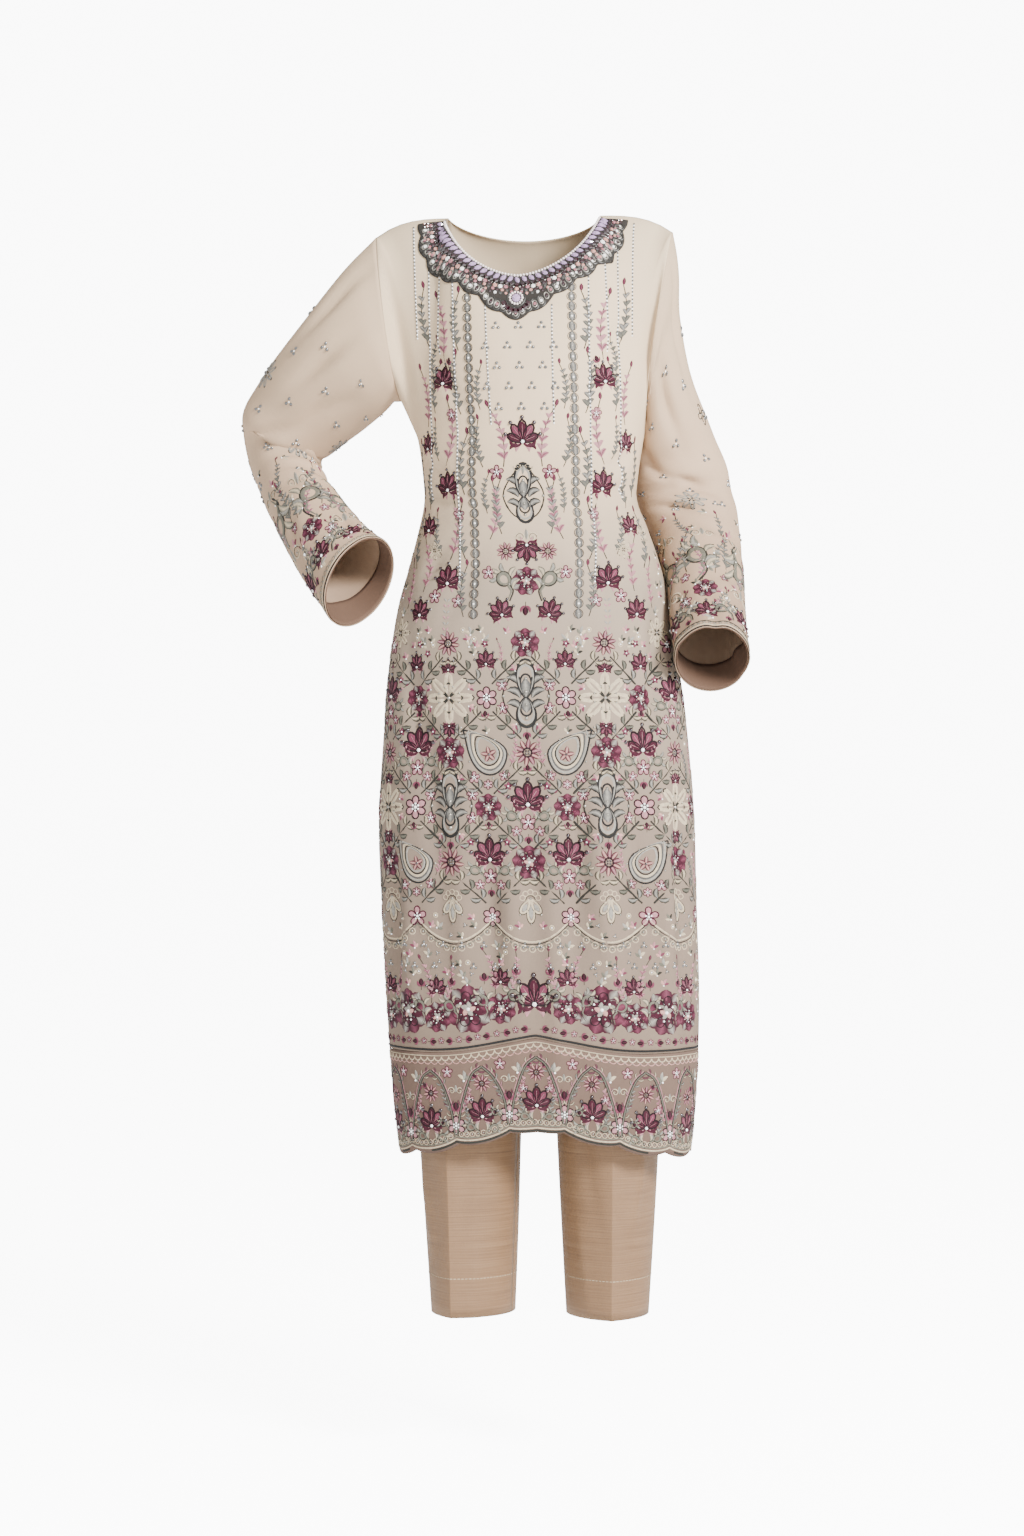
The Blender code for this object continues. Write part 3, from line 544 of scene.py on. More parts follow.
def border_band(face):
    share = 2 * np.arange(BORDER_GRID.columns + 1) / BORDER_GRID.columns - 1
    away = share * half_length(HEM.middle, face)
    top, bottom = dip(BORDER_SEAM, away) - 2 * SEAM, dip(HEM, away) + scallop(away)
    part = (np.arange(BORDER_GRID.rows + 1) / BORDER_GRID.rows)[:, None]
    level = top + (bottom - top) * part
    grid, away = below_chest(level, share, face)
    grid[:, :, 1] += face * SEAM / 2
    return grid, np.stack([away, level], axis=2)


for face, name in FACES.items():
    grid, cut = border_band(face)
    make_cloth(f"border_{name}_cloth", creased(grid, cut, grid_normals(grid), KAMEEZ_CREASES[face]), cut)

# %% [markdown]
# ## Sleeves
# A sleeve is one tube, set into the egg-shaped armhole. The right arm is bent with its hand at the hip, and
# the left one hangs, so the two sleeves gather in different places. Each ring of the tube is given by its
# outermost and innermost points and how far it reaches to front and back.
# %% Sizes of the sleeves
RING = "outer_x,mm outer_y,mm outer_z,mm inner_x,mm inner_y,mm inner_z,mm half_depth,mm"
SLEEVES = {
    "right": """
        173   0  -21 144   0 -213 51; 212   0  -60 154   0 -216 54; 261   8 -118 170  12 -228 55
        305  31 -166 199  41 -245 54; 338  56 -207 234  66 -265 53; 343  65 -244 247  75 -281 52
        329  51 -286 241  59 -299 51; 307  21 -334 223  29 -323 49; 275 -21 -390 195 -14 -349 47
        242 -53 -437 173 -47 -368 46; 209 -80 -477 155 -75 -380 47
        """,
    "left": """
        173   0  -21 144   0 -213 51; 184.5 4  -70 150   6 -218 53; 190  14 -122 148  22 -227 54
        202  32 -184 140  42 -248 53; 226.5 54 -247 131 62 -280 52; 249  68 -304 131  70 -320 51
        257.5 55 -362 149 56 -368 50; 264  13 -423 170   8 -423 49; 267 -29 -472 180 -34 -478 49
        272 -69 -513 187 -74 -522 52
        """,
}
MAIN_FOLDS = {
    # along the sleeve (0 to 1), round it in degrees (0 outside, 90 in front), half length, half angle, depth
    "right": "0.47 135 0.030 75 8; 0.56 150 0.032 85 10; 0.66 120 0.030 60 6; 0.36 60 0.040 50 5",
    "left": "0.46 100 0.035 70 6; 0.57 60 0.035 80 7; 0.68 130 0.030 60 5",
}
SLEEVE_TURN = (0.20, 0.55)
SLEEVE_GRID = SimpleNamespace(rings=76, round=72, facing_rings=9)
LEAN_IN, LEAN_IN_END = {"right": 0.0, "left": 0.0085}, 0.22
CUFF_FACING_WIDTH, CLOTH_WALL = 0.035, 0.0016


def sleeve_shape(name, along):
    """The centre of each ring, and its arms outwards and forwards, as arrays."""
    side, values = SIDES[name], table(RING, SLEEVES[name])
    values[:, [0, 3]] *= side
    keys = np.arange(len(values)) / (len(values) - 1)

    def ends(at):
        ring = np.stack([curve(keys, column, at) for column in values.T], axis=1)
        return ring[:, :3], ring[:, 3:6], ring[:, 6:]

    outer, inner, depth = ends(along)
    step = 0.5 / len(values)
    before, after = ends(np.maximum(along - step, 0)), ends(np.minimum(along + step, 1))
    direction = unit(after[0] + after[1] - before[0] - before[1])
    across = (outer - inner) / 2
    squared = unit(np.cross(direction, across)) * side
    forward = np.array([0.0, -1.0, 0.0])
    shadow = across * (across @ forward / (across**2).sum(axis=1))[:, None]
    turned = smooth((along - SLEEVE_TURN[0]) / (SLEEVE_TURN[1] - SLEEVE_TURN[0]))[:, None]
    forward = unit(unit(forward - shadow) * (1 - turned) + squared * turned)
    return (outer + inner) / 2, across, forward * depth


def sleeve_grid(name, along):
    """The tube's points at places along the sleeve."""
    centre, across, forward = sleeve_shape(name, along)
    angle = 2 * np.pi * np.arange(SLEEVE_GRID.round) / SLEEVE_GRID.round
    egg = ARMHOLE_EGG * (1 - smooth(along / ARMHOLE_EGG_END))[:, None]
    sine = np.sin(angle) * (1 - egg * np.cos(angle))
    arm = across[:, None] * np.cos(angle)[None, :, None] + forward[:, None] * sine[:, :, None]
    pulled = np.zeros(sine.shape)
    columns = "at middle half_along half_angle depth,mm"
    for at, middle, half_along, half_angle, depth in table(columns, MAIN_FOLDS[name]):
        turned = (np.degrees(angle) - middle + 180) % 360 - 180
        pulled += depth * np.exp(-(((along - at) / half_along) ** 2)[:, None] - (turned / half_angle) ** 2)
    centre[:, 0] -= LEAN_IN[name] * SIDES[name] * smooth(along / LEAN_IN_END)
    return centre[:, None] + arm * (1 - pulled / np.linalg.norm(arm, axis=2))[..., None]


def tube_cut(grid):
    """Flat places on a tube: u round it from its outermost line, v down it. One column more than the grid."""
    run = run_along(np.concatenate([grid, grid[:, :1]], axis=1))
    down = run_along(grid.mean(axis=1))
    return np.stack([run, np.broadcast_to(-down[:, None], run.shape)], axis=2)


SLEEVE_CREASES = {
    # across is round the sleeve from its outermost line, forwards first, and level is down from the armhole
    "right": """
        40 -60  78 110 8 2.8;  85 -90  70 120 8 3.0; 120 -130 60  90 7 2.6;  60 -200 40 90 7 3.0
        105 -225 20 80 6 3.6;  90 -262  6 110 7 4.6; 110 -292 -8 100 6 4.0;  60 -318 -24 90 7 3.0
        150 -280 10 80 6 3.6;  40 -400 82 110 8 1.8; 110 -410 96 110 8 2.0; 240 -80 100 120 9 3.0
        270 -150 112 110 8 2.8; 235 -240 150 80 7 3.0; 215 -280 175 80 6 3.2; 250 -330 190 80 7 2.4
        270 -400 95 120 9 2.0
        """,
    "left": """
        30 -70  84 120 8 2.6;  75 -100 76 130 8 3.0; 115 -150 66 110 7 2.8;  60 -215 44 90 7 2.6
        95 -255 24  90 7 3.6;  50 -300  8 100 7 3.6;  90 -335 -14 90 6 3.0;  45 -372 160 80 7 2.2
        70 -430 88 120 9 2.0; 120 -420 96 110 8 -1.6; 235 -90 98 130 9 2.8; 265 -160 108 110 8 2.6
        230 -250 150 90 7 2.8; 250 -300 178 80 7 2.6; 260 -410 95 120 9 2.0
        """,
}

for name, side in SIDES.items():
    creases = table(CREASE, SLEEVE_CREASES[name])
    grid = sleeve_grid(name, np.linspace(0, 1, SLEEVE_GRID.rings))
    grid[0, :, 0] += side * SEAM
    cut = tube_cut(grid)
    folded = creased(grid, cut[:, :-1], grid_normals(grid, True), creases)
    folded[0] = grid[0]
    make_cloth(f"sleeve_{name}_cloth", folded, cut, closed=True)
    length, girth = -cut[-1, 0, 1], cut[-1, -1, 0]
    print(f"{name} sleeve: {length:.3f} m long, {girth:.3f} m round the cuff")

    ends = 1 - CUFF_FACING_WIDTH / length, 1 - 2 * SEAM / length
    band = sleeve_grid(name, np.linspace(*ends, SLEEVE_GRID.facing_rings))
    place = tube_cut(band)[:, :-1] + (0, CUFF_FACING_WIDTH - length)
    band = creased(band, place, grid_normals(band, True), creases)
    band = band - grid_normals(band, True) * (CLOTH_WALL + SEAM)
    make_cloth(f"cuff_facing_{name}_cloth", band, tube_cut(band), closed=True)

# %% [markdown]
# ## Trousers
# Each trouser panel runs from the outer seam to the inner one. Above the crotch the two halves share one
# round waist, and below it each leg is its own tube with a crease pressed down its middle. The legs turn
# out a little, the right one more than the left.
# %% Sizes of the trousers
TROUSERS = named(
    "level,mm centre,mm sweep outer,mm inner,mm front,mm back,mm crease",
    """
    -362  10.5  90 112.0  0.0 79.0  65.0 0.00
    -420  12.2  90 129.0  0.0 85.0  80.0 0.00
    -480  11.5  90 144.0  0.0 91.0  98.0 0.00
    -540  12.0  91 153.0  0.0 94.0 108.0 0.00
    -585  13.0 100 157.0  0.0 94.0 110.0 0.00
    -620  13.8 120 158.0  0.0 93.0 108.0 0.02
    -645  14.2 150 157.5  1.0 92.0 105.0 0.04
    -665  14.6 180 156.5  2.5 90.5 102.0 0.06
    -750  16.0 180 153.0  6.0 86.0  93.0 0.14
    -850  17.0 180 149.0 11.0 80.0  83.0 0.24
    -950  17.5 180 145.0 16.0 75.0  76.0 0.34
    -1060 17.5 180 140.0 20.5 71.0  71.0 0.44
    -1170 18.5 180 133.0 25.0 69.0  69.0 0.50
    -1272 19.0 180 126.0 30.0 67.0  67.0 0.52
    """,
)
TOE_OUT, TOE_OUT_LEVELS = {"right": 17, "left": 8}, (-0.70, -1.10)
TROUSER_TOP, TROUSER_HEM = -0.362, -1.272
TROUSER_GRID = SimpleNamespace(rows=72, columns=40, gather=1.5)
WAISTBAND = SimpleNamespace(height=0.036, lean=0.002, columns=96, rows=7, gathers=16)


def trouser_panel(side_name, face):
    """A panel's points, closest together at the pressed crease, and the distance of each from it."""
    side = SIDES[side_name]
    level = np.linspace(TROUSER_TOP, TROUSER_HEM, TROUSER_GRID.rows + 1)[:, None]
    size = read(TROUSERS, level)
    sweep = np.radians(np.minimum(size.sweep, 180))
    radius = (size.outer - size.inner) / (1 - np.cos(sweep))
    middle = (size.outer + size.inner) / 2
    turned = smooth((TOE_OUT_LEVELS[0] - level) / (TOE_OUT_LEVELS[0] - TOE_OUT_LEVELS[1]))
    yaw = np.radians(TOE_OUT[side_name]) * turned
    aside = 2 * np.arange(TROUSER_GRID.columns + 1) / TROUSER_GRID.columns - 1
    part = 0.5 + 0.5 * np.sign(aside) * np.abs(aside) ** TROUSER_GRID.gather
    across = size.outer - radius + radius * np.cos(sweep * part) - middle
    rounded, pointed = np.sin(sweep * part), 1 - np.abs(2 * part - 1)
    out = (size.front if face == FRONT else size.back) * face
    out = out * (rounded * (1 - size.crease) + pointed * size.crease)
    x = middle + across * np.cos(yaw) - out * np.sin(yaw)
    y = across * np.sin(yaw) + out * np.cos(yaw)
    z = np.broadcast_to(level, x.shape)
    grid = np.stack([size.centre + side * (x + SEAM / 2), y + face * SEAM / 2, z], axis=2)
    run = run_along(grid)
    return grid, np.stack([run - run[:, [TROUSER_GRID.columns // 2]], z], axis=2)


# across is from the pressed crease outwards to the outer seam, below 0
TROUSER_CREASES = table(
    CREASE,
    """
    -50 -640 30 100 8 1.4;  45 -690 -32 110 8 1.8;  50 -760 -24 90 7 1.2; -35 -930 14 70 7 1.0
    30 -960 -12  80 7 1.2; -30 -1030 -10 90 8 1.2; 28 -1100 78 200 10 1.4; -38 -1130 98 180 10 -1.2
    -20 -1185 62 80 7 1.0;  34 -1225 84 100 8 -1.0
    """,
)
CREASE_SHIFT = np.array([0.004, -0.012])


def trouser_normals(grid):
    """A panel's row isn't a whole ring, so its middle doesn't say which way is out: the leg's axis does."""
    normals = grid_normals(grid)
    axis = grid[:, [0, -1]].mean(axis=1, keepdims=True)
    return normals * np.sign((normals * (grid - axis)).sum())


for side_name, side in SIDES.items():
    for face, face_name in FACES.items():
        grid, cut = trouser_panel(side_name, face)
        shifted = TROUSER_CREASES.copy()
        shifted[:, :2] += CREASE_SHIFT * (side, side * face)
        worn = creased(grid, cut, trouser_normals(grid), shifted)
        worn[:, [0, -1]] = grid[:, [0, -1]]
        make_cloth(f"trouser_{face_name}_{side_name}_cloth", worn, cut)


def waistband_grid():
    """The band round the top of the trousers. It is gathered a little on its elastic."""
    top = read(TROUSERS, TROUSER_TOP)
    part = (np.arange(WAISTBAND.rows) / (WAISTBAND.rows - 1))[:, None]
    angle = 2 * np.pi * np.arange(WAISTBAND.columns) / WAISTBAND.columns
    x = top.centre + (top.outer - WAISTBAND.lean * (1 - part)) * np.cos(angle)
    y = -np.where(np.sin(angle) > 0, top.front, top.back) * np.sin(angle)
    z = TROUSER_TOP + SEAM + WAISTBAND.height * (1 - part)
    grid = np.stack(np.broadcast_arrays(x, y, z), axis=2)
    gathers = np.abs(np.sin(angle * WAISTBAND.gathers)) * np.sin(np.pi * part)
    return grid - grid_normals(grid, True) * (gathers * WAISTBAND.lean)[..., None]


band = waistband_grid()
make_cloth("trouser_waistband_cloth", band, tube_cut(band), closed=True)
print("cloth pieces:", len(PIECES))

# %% [markdown]
# ## Needlework drawn flat
# Hand embroidery is drawn on the flat cut and worked before the piece is sewn. Each stroke of satin stitch
# or couched cord is a low domed ribbon, highest along its middle and tucked under the cloth at its edges. A
# motif is a set of strokes, drawn once and then copied, turned, mirrored and scaled over the cut.
# %% Colours of thread, beads and stones, linear
# crystal is nearly white: its beads stand for the glints of clear glass, a painted highlight
COLOURS = """
    silver .250 .232 .200; steel .010 .0095 .0088; moss .018 .017 .0128; celadon .125 .118 .088
    ivory .46 .37 .25; blush .36 .170 .185; pink .135 .031 .054; rose .042 .0048 .0130; plum .010 .0010 .0030
    shell .47 .245 .21; crystal .80 .78 .75; pewter .070 .068 .064
    lilac .33 .215 .37; garnet .016 .0010 .0040; peach .40 .185 .150; rose_glass .26 .090 .105
    pearl .74 .64 .60; gunmetal .034 .032 .029
"""
THREAD = {name: tuple(map(float, colour)) for name, *colour in words(COLOURS)}


# %% Lines in millimetres
def polar(angle, length, start=(0, 0)):
    """The place at an angle and a length from a start."""
    angle = math.radians(angle)
    return (start[0] + length * math.cos(angle), start[1] + length * math.sin(angle))


def around(count, first=90):
    """Even angles all round, in degrees."""
    return [first + 360 * i / count for i in range(count)]


def beside(line):
    """The direction a quarter turn to the left of a line, at each of its points."""
    ahead = np.gradient(np.asarray(line, float), axis=0)
    return unit(ahead[:, ::-1] * (-1, 1))


def arc(centre, radius, start=0, end=330, count=8):
    angle = np.radians(np.linspace(start, end, count))
    return np.stack([centre[0] + radius * np.cos(angle), centre[1] + radius * np.sin(angle)], axis=1)


def bent(start, end, bow, count=7):
    """A curved line between two points. bow is how far it bulges to its left, as a share of its length."""
    start, end = np.array(start, float), np.array(end, float)
    part = np.linspace(0, 1, count)[:, None]
    along = end - start
    return start + along * part + along[::-1] * (-1, 1) * bow * 4 * part * (1 - part)


def smoothed(points, count):
    """A smooth line through a few points."""
    points = np.array(points, float)
    at = np.linspace(0, len(points) - 1, count)
    return np.stack([curve(np.arange(len(points)), column, at) for column in points.T], axis=1)


def pointed(count):
    """Widths of a leaf, from almost nothing at its ends to 1 at its middle."""
    return np.maximum(np.sin(np.pi * np.linspace(0.03, 0.97, count)) ** 0.7, 0.12)


def drop_outline(start, angle, length, width, count=15):
    """A closed petal outline, from its root at start, opening in the direction angle."""
    t = np.linspace(0, 2 * np.pi, count, endpoint=False)
    open_ = (1 - np.cos(t)) / 2
    along, aside = length * open_, width / 2 * np.sin(t) * open_**0.3
    c, s = math.cos(math.radians(angle)), math.sin(math.radians(angle))
    return np.stack([start[0] + along * c - aside * s, start[1] + along * s + aside * c], axis=1)


# %% Strokes, beads, and motifs made of them
TUCK = -0.25 * MM
THREAD_SPREAD = 1.35
PROFILES = {
    # across each stroke: places from edge to edge, and the share of its height that each one rises
    "satin": ((-1, -0.6, 0, 0.6, 1), (0.8, 1, 0.8)),
    "cord": ((-1, 0, 1), (1,)),
}


class Motif:
    """Strokes, and the places of beads and stones, in metres round the motif's own middle."""

    def __init__(self, *works):
        self.strokes, self.count, self.sewn = [], 0, []
        for work in works:
            self.sewn += work.sewn
            if work.count:
                self.keep(*work.whole())

    def keep(self, points, quads, tints, runs):
        self.strokes.append((points, quads + self.count, tints, runs))
        self.count += len(points)

    def whole(self):
        """All the strokes as one set of points, faces, tints and runs."""
        if len(self.strokes) > 1:
            self.strokes = [tuple(map(np.concatenate, zip(*self.strokes)))]
        return self.strokes[0]

    def stroke(self, path, width, colour, height=0.45, edge=None, closed=False, profile="satin"):
        """A ribbon of thread along a path. width is one number, or one for each point of the path."""
        path = np.asarray(path, float) * MM
        half = np.broadcast_to(np.asarray(width, float), len(path))[:, None] * THREAD_SPREAD * MM / 2
        aside = beside(path)
        if closed:
            ahead = np.roll(path, -1, axis=0) - np.roll(path, 1, axis=0)
            aside = unit(ahead[:, ::-1] * (-1, 1))
        places, rises = PROFILES[profile]
        places, rises = np.array(places), (TUCK, *(height * MM * rise for rise in rises), TUCK)
        flat = path[:, None] + aside[:, None] * (half * places)[..., None]
        points = np.concatenate([flat, np.broadcast_to(rises, flat.shape[:2])[..., None]], axis=2)
        across = len(places)
        quads = grid_quads(len(path), across)[:, ::-1]
        if closed:
            c = np.arange(across - 1)
            last = (len(path) - 1) * across + c
            quads = np.concatenate([quads, np.stack([last, last + 1, c + 1, c], axis=1)])
        middle = (np.abs(places) < 0.5)[None, :, None]
        tints = np.where(middle, THREAD[colour], THREAD[edge or colour]) * np.ones((len(path), 1, 1))
        runs = np.stack(np.broadcast_arrays(run_along(path)[:, None], places * half, 0.0), axis=2)
        self.keep(points.reshape(-1, 3), quads, tints.reshape(-1, 3), runs.reshape(-1, 3))

    def leaf(self, start, end, width, colour, bow=0.12, height=0.5, count=6, edge=None):
        self.stroke(bent(start, end, bow, count), width * pointed(count), colour, height, edge)

    def cord(self, path, colour, width, height=0.55, closed=False):
        self.stroke(path, width, colour, height, closed=closed, profile="cord")

    def long_cord(self, path, colour, width, height, count=12):
        """A long cord is couched in short lengths that overlap at their ends."""
        for start in range(0, len(path) - 1, count - 1):
            self.cord(path[start : start + count], colour, width, height)

    def ring(self, centre, radius, colour, width, height=0.6, count=8):
        self.cord(arc(centre, radius, count=count), colour, width, height, closed=True)

    def petal(self, start, angle, length, width, outline, fill, thick, vein=None):
        """A petal worked in three parts: a satin filling, a corded outline and, where named, one vein."""
        root, heart, end, tip = (polar(angle, length * part, start) for part in (0.12, 0.45, 0.8, 0.93))
        self.leaf(root, tip, width * 0.92, fill, bow=0, height=0.32)
        self.cord(drop_outline(start, angle, length, width), outline, thick, 0.7, closed=True)
        if vein:
            self.cord([root, heart, end], vein, 0.6, 0.62)

    def bead(self, place, size, colour="crystal", kind="bead", turn=0.0):
        self.sewn.append((kind, place[0] * MM, place[1] * MM, math.radians(turn), size * MM, THREAD[colour]))


# %% [markdown]
# ## The motifs
# Flowers, leaves, drops and scrolls are the common stock of this kind of embroidery. Every one is drawn
# around its own middle in millimetres, with its top upwards: outlines in rose or moss cord, fillings in
# silver or pink satin, and beads where the petals meet.
# %% Flowers
MIDDLE = (0, 0)


def palmette():
    """A fan of five petals over two curled leaves, with a plum bead at the tip of each petal."""
    m = Motif()
    foot = (0, -5)
    for lean, length, width, fill in ((0, 19, 9, "rose"), (33, 17.5, 8.5, "pink"), (68, 15, 8, "rose")):
        for angle in sorted({90 - lean, 90 + lean}):
            m.petal(foot, angle, length, width, "plum", fill, 1.9, "blush")
            m.bead(polar(angle, length + 2.4, foot), 4.6, "plum")
    for side in (-1, 1):
        curl_line = smoothed([(0, -6), (side * 5, -9), (side * 10, -7.5), (side * 12, -3.5)], 9)
        m.stroke(curl_line, 3.2 * pointed(9), "rose", 0.6)
        m.leaf((side, -7), (side * 6, -14), 3.4, "blush", 0.2 * side)
        m.leaf((side * 4, -8), (side * 12, -12), 3.2, "rose", 0.2 * side)
    m.bead(foot, 4.4)
    return m


def rosette(petals=5, outline="rose"):
    """A small open flower of corded petals round a cluster of beads."""
    m = Motif()
    for angle in around(petals):
        m.petal(polar(angle, 1.44), angle, 7.56, 6.48, outline, "blush", 1.35)
        m.bead(polar(angle, 2.7), 2.34)
    m.bead(MIDDLE, 3.42)
    return m


def bloom():
    """A full rose seen from above: three rings of satin petals that darken towards the heart."""
    m = Motif()
    for i, angle in enumerate(around(9, 10)):
        m.leaf(polar(angle, 9), polar(angle, 17.5), 10.5, "silver" if i % 2 else "pink", 0, 0.4, edge="rose")
    for i, angle in enumerate(around(7, 30)):
        m.petal(polar(angle, 3), angle, 9.5, 8, "plum" if i % 3 else "rose", "rose", 1.5)
    for i, angle in enumerate(around(5)):
        m.leaf(MIDDLE, polar(angle, 5.4), 3.6, "shell" if i % 2 else "silver", 0.1, 0.8)
    for i, angle in enumerate(around(10, 0)):
        m.bead(polar(angle, 6.8), 2.1, ("plum", "crystal", "silver")[i % 3])
    m.bead(MIDDLE, 3.6)
    return m


def daisy():
    """A ten-petalled flower of pale strokes with a plum middle."""
    m = Motif()
    for i, angle in enumerate(around(10, 9)):
        colour = "shell" if i % 2 else "blush"
        m.leaf(polar(angle, 3.36), polar(angle, 12), 4.08, colour, 0.05, 0.45, 5, "rose")
    m.ring(MIDDLE, 4.08, "plum", 2.16, 0.8, 12)
    for angle in around(4, 45):
        m.bead(polar(angle, 1.68), 2.4, "plum")
    return m


def bud():
    """A closed bud between two sepals, on a short stalk."""
    m = Motif()
    m.cord([(0, -7), (0, -4), (0, -1)], "moss", 0.8, 0.5)
    m.leaf((0, -2), (0, 6), 5, "rose", 0, 0.7, edge="plum")
    for side in (-1, 1):
        m.leaf((0, -3), (side * 4.2, 3.2), 2.6, "pink", -0.22 * side)
    return m


def small_rosette():
    m = Motif()
    for i, angle in enumerate(around(5)):
        m.leaf(MIDDLE, polar(angle, 4.5), 2.7, "rose" if i % 2 else "pink", 0, count=4)
    m.bead(MIDDLE, 2.52)
    return m


# %% Leaves and stems
def spray(length=60.0, colours=("blush", "pink"), bow=0.10, edge="blush", pairs=6, leaf=9.0):
    """A bowed stem with pairs of leaves that get smaller towards its tip, and a bud at the end."""
    m = Motif()
    stem = bent(MIDDLE, (0, length), bow, 13)
    m.cord(stem, "moss", 1.2, 0.5)
    for i in range(pairs):
        part = 0.12 + 0.8 * i / pairs
        x, y = (np.interp(part * (len(stem) - 1), range(len(stem)), column) for column in stem.T)
        size = leaf * (1 - 0.45 * part)
        for side in (-1, 1):
            root = (x, y + side * 0.8)
            tip, colour = polar(90 - side * 42, size, root), colours[(i + side) % 2]
            m.leaf(root, tip, size / 2, colour, 0.18 * side, 0.45, 5, edge)
    m.leaf(stem[-1], polar(84, leaf * 0.8, stem[-1]), leaf * 0.38, "pink", 0, count=5, edge="rose")
    return m


def beaded_spray(length=50.0, count=7):
    """A stem of small ring-shaped beads with pale leaflets, lighter than a leafy spray."""
    m = Motif()
    for i in range(count):
        x, y = 2.2 * math.sin(2.4 * i / count), length * i / (count - 1)
        m.bead((x, y), 2.6, "silver", "ring")
        for side in (-1, 1):
            root, tip, colour = (x + side * 1.2, y), (x + side * 5.2, y + 4), "blush" if i % 2 else "silver"
            m.leaf(root, tip, 2.6, colour, 0.1 * side, 0.4, 4)
    return m


def acanthus(lobes=6):
    """A scrolling leaf: a spine that curls in on itself, with long celadon lobes on its outer side."""
    m = Motif()
    turn = np.linspace(0, 1, 22)
    angle = np.radians(200 - 330 * turn)
    radius = 15 - 10.5 * turn
    spine = np.stack([radius * np.cos(angle) + 10 * (1 - turn), radius * np.sin(angle)], axis=1)
    spine = np.concatenate([smoothed([(-4, -24), (-8, -12), spine[0]], 7)[:-1], spine])
    m.cord(spine, "moss", 2.0, 0.65)
    outward = beside(spine)
    ahead = outward[:, ::-1] * (1, -1)
    m.stroke(spine - outward * 2.4, 3.8 * pointed(len(spine)), "celadon", 0.5)
    for i in range(lobes):
        at = 4 + i * (len(spine) - 12) // lobes
        root, reach = spine[at], 12.0 - 5.0 * i / lobes
        tip = root + (outward[at] + ahead[at] * 0.55) * reach
        m.leaf(root, tip, 5.6, "silver" if i % 2 else "ivory", -0.22, edge="celadon")
        m.cord(bent(root, tip + ahead[at] * 1.2, -0.36, 6), "moss", 0.9, 0.5)
    m.bead(spine[-1], 2.6, "silver")
    return m


def curl():
    """A small double scroll in ivory and silver cord."""
    m = Motif()
    turn = np.linspace(0, 1, 18)
    for side in (-1, 1):
        angle, radius = np.radians(90 + side * (400 * turn - 90)), 7 * (1 - 0.72 * turn)
        line = np.stack([side * 8 + radius * np.cos(angle), radius * np.sin(angle)], axis=1)
        m.cord(line, "ivory", 2.0, 0.6)
        m.cord(line * 0.86 + (side * 1.1, 0), "moss", 0.8)
        m.bead((side * 8, 0), 2.2, "silver")
    m.leaf((0, -3), (0, 11), 4.5, "celadon", 0, edge="silver")
    return m


def sprig(size=12.0, colours=("blush", "pink", "shell")):
    """Three leaves from one root, and a bead: a filling for the gaps between larger motifs."""
    m = Motif()
    root = (0, -size * 0.3)
    for angle, colour, length in zip((90, 38, 142), colours, (0.62, 0.5, 0.5)):
        m.leaf(root, polar(angle, size * length, root), size * 0.22, colour, 0.1, 0.45, 5)
    m.bead((0, -size * 0.38), size * 0.18)
    return m


# %% Drops, knots and medallions
def paisley():
    """A curled drop of nested lines, steel, silver and ivory by turns, round a little flower."""
    m = Motif()
    t = np.linspace(0, 2 * np.pi, 40, endpoint=False)

    def outline(scale):
        x, y = np.sin(t) * 14 * scale, -np.cos(t) * 19 * scale
        lean = np.clip((y + 6) / 25, 0, 1) ** 1.7
        return np.stack([x * (1 - 0.72 * lean) + 15 * lean * scale, y - 2.5 * lean], axis=1)

    lines = words("1 steel 1.4; .9 silver 1.8; .81 pewter 1.3; .72 ivory 1.8; .63 steel 1.1; .54 silver 1.6")
    for scale, colour, width in lines:
        m.cord(outline(float(scale)), colour, float(width), 0.65, closed=True)
    heart = (0, -4)
    for angle in around(5):
        m.leaf(heart, polar(angle, 6, heart), 3.2, "shell", 0, count=5, edge="rose")
    for spot in outline(1.13)[::4]:
        m.bead(spot, 1.9, "silver")
    m.bead(heart, 2.8, "plum")
    return m


def knot(colour="ivory", loops=8):
    """A rosette of interlaced loops in one unbroken cord, round a smaller four-leaved one."""
    m = Motif()
    t = np.linspace(0, 2 * np.pi, 12 * loops, endpoint=False)
    round_ = np.stack([np.cos(t), np.sin(t)], axis=1)
    loop_line = round_ * (10.2 + 6.12 * np.cos(loops * t))[:, None]
    m.cord(loop_line * 1.06, "steel", 1.7, 0.5, closed=True)
    m.cord(loop_line, colour, 2.38, 0.8, closed=True)
    m.cord(round_ * (8.84 * np.abs(np.cos(2 * t)) + 0.68)[:, None], "moss", 1.428, 0.6, closed=True)
    for angle in around(loops, 180 / loops):
        m.bead(polar(angle, 7.82), 1.7, "silver")
    m.bead(MIDDLE, 3.06, "silver")
    return m


def pendant():
    """Three hanging drops under a crown of loops."""
    m = Motif()
    top = (0, 2)
    for angle, length in ((-90, 22), (-124, 16), (-56, 16)):
        m.cord(drop_outline(top, angle, length, 8), "ivory", 2.0, 0.6, closed=True)
        m.cord(drop_outline(top, angle, length * 1.1, 10), "moss", 1.0, 0.5, closed=True)
        m.leaf(polar(angle, 6, top), polar(angle, length * 0.88, top), 4.2, "silver", 0, 0.4, 5)
        m.bead(polar(angle, length + 2.4, top), 2.2, "silver")
    for angle in range(18, 180, 36):
        m.ring(polar(angle, 8, (0, 1)), 2.6, "ivory", 0.9, count=10)
    m.cord(arc((0, 1), 4.6, 0, 180, 10), "moss", 0.8, 0.6)
    m.bead((0, 2.5), 3.2, "silver")
    return m


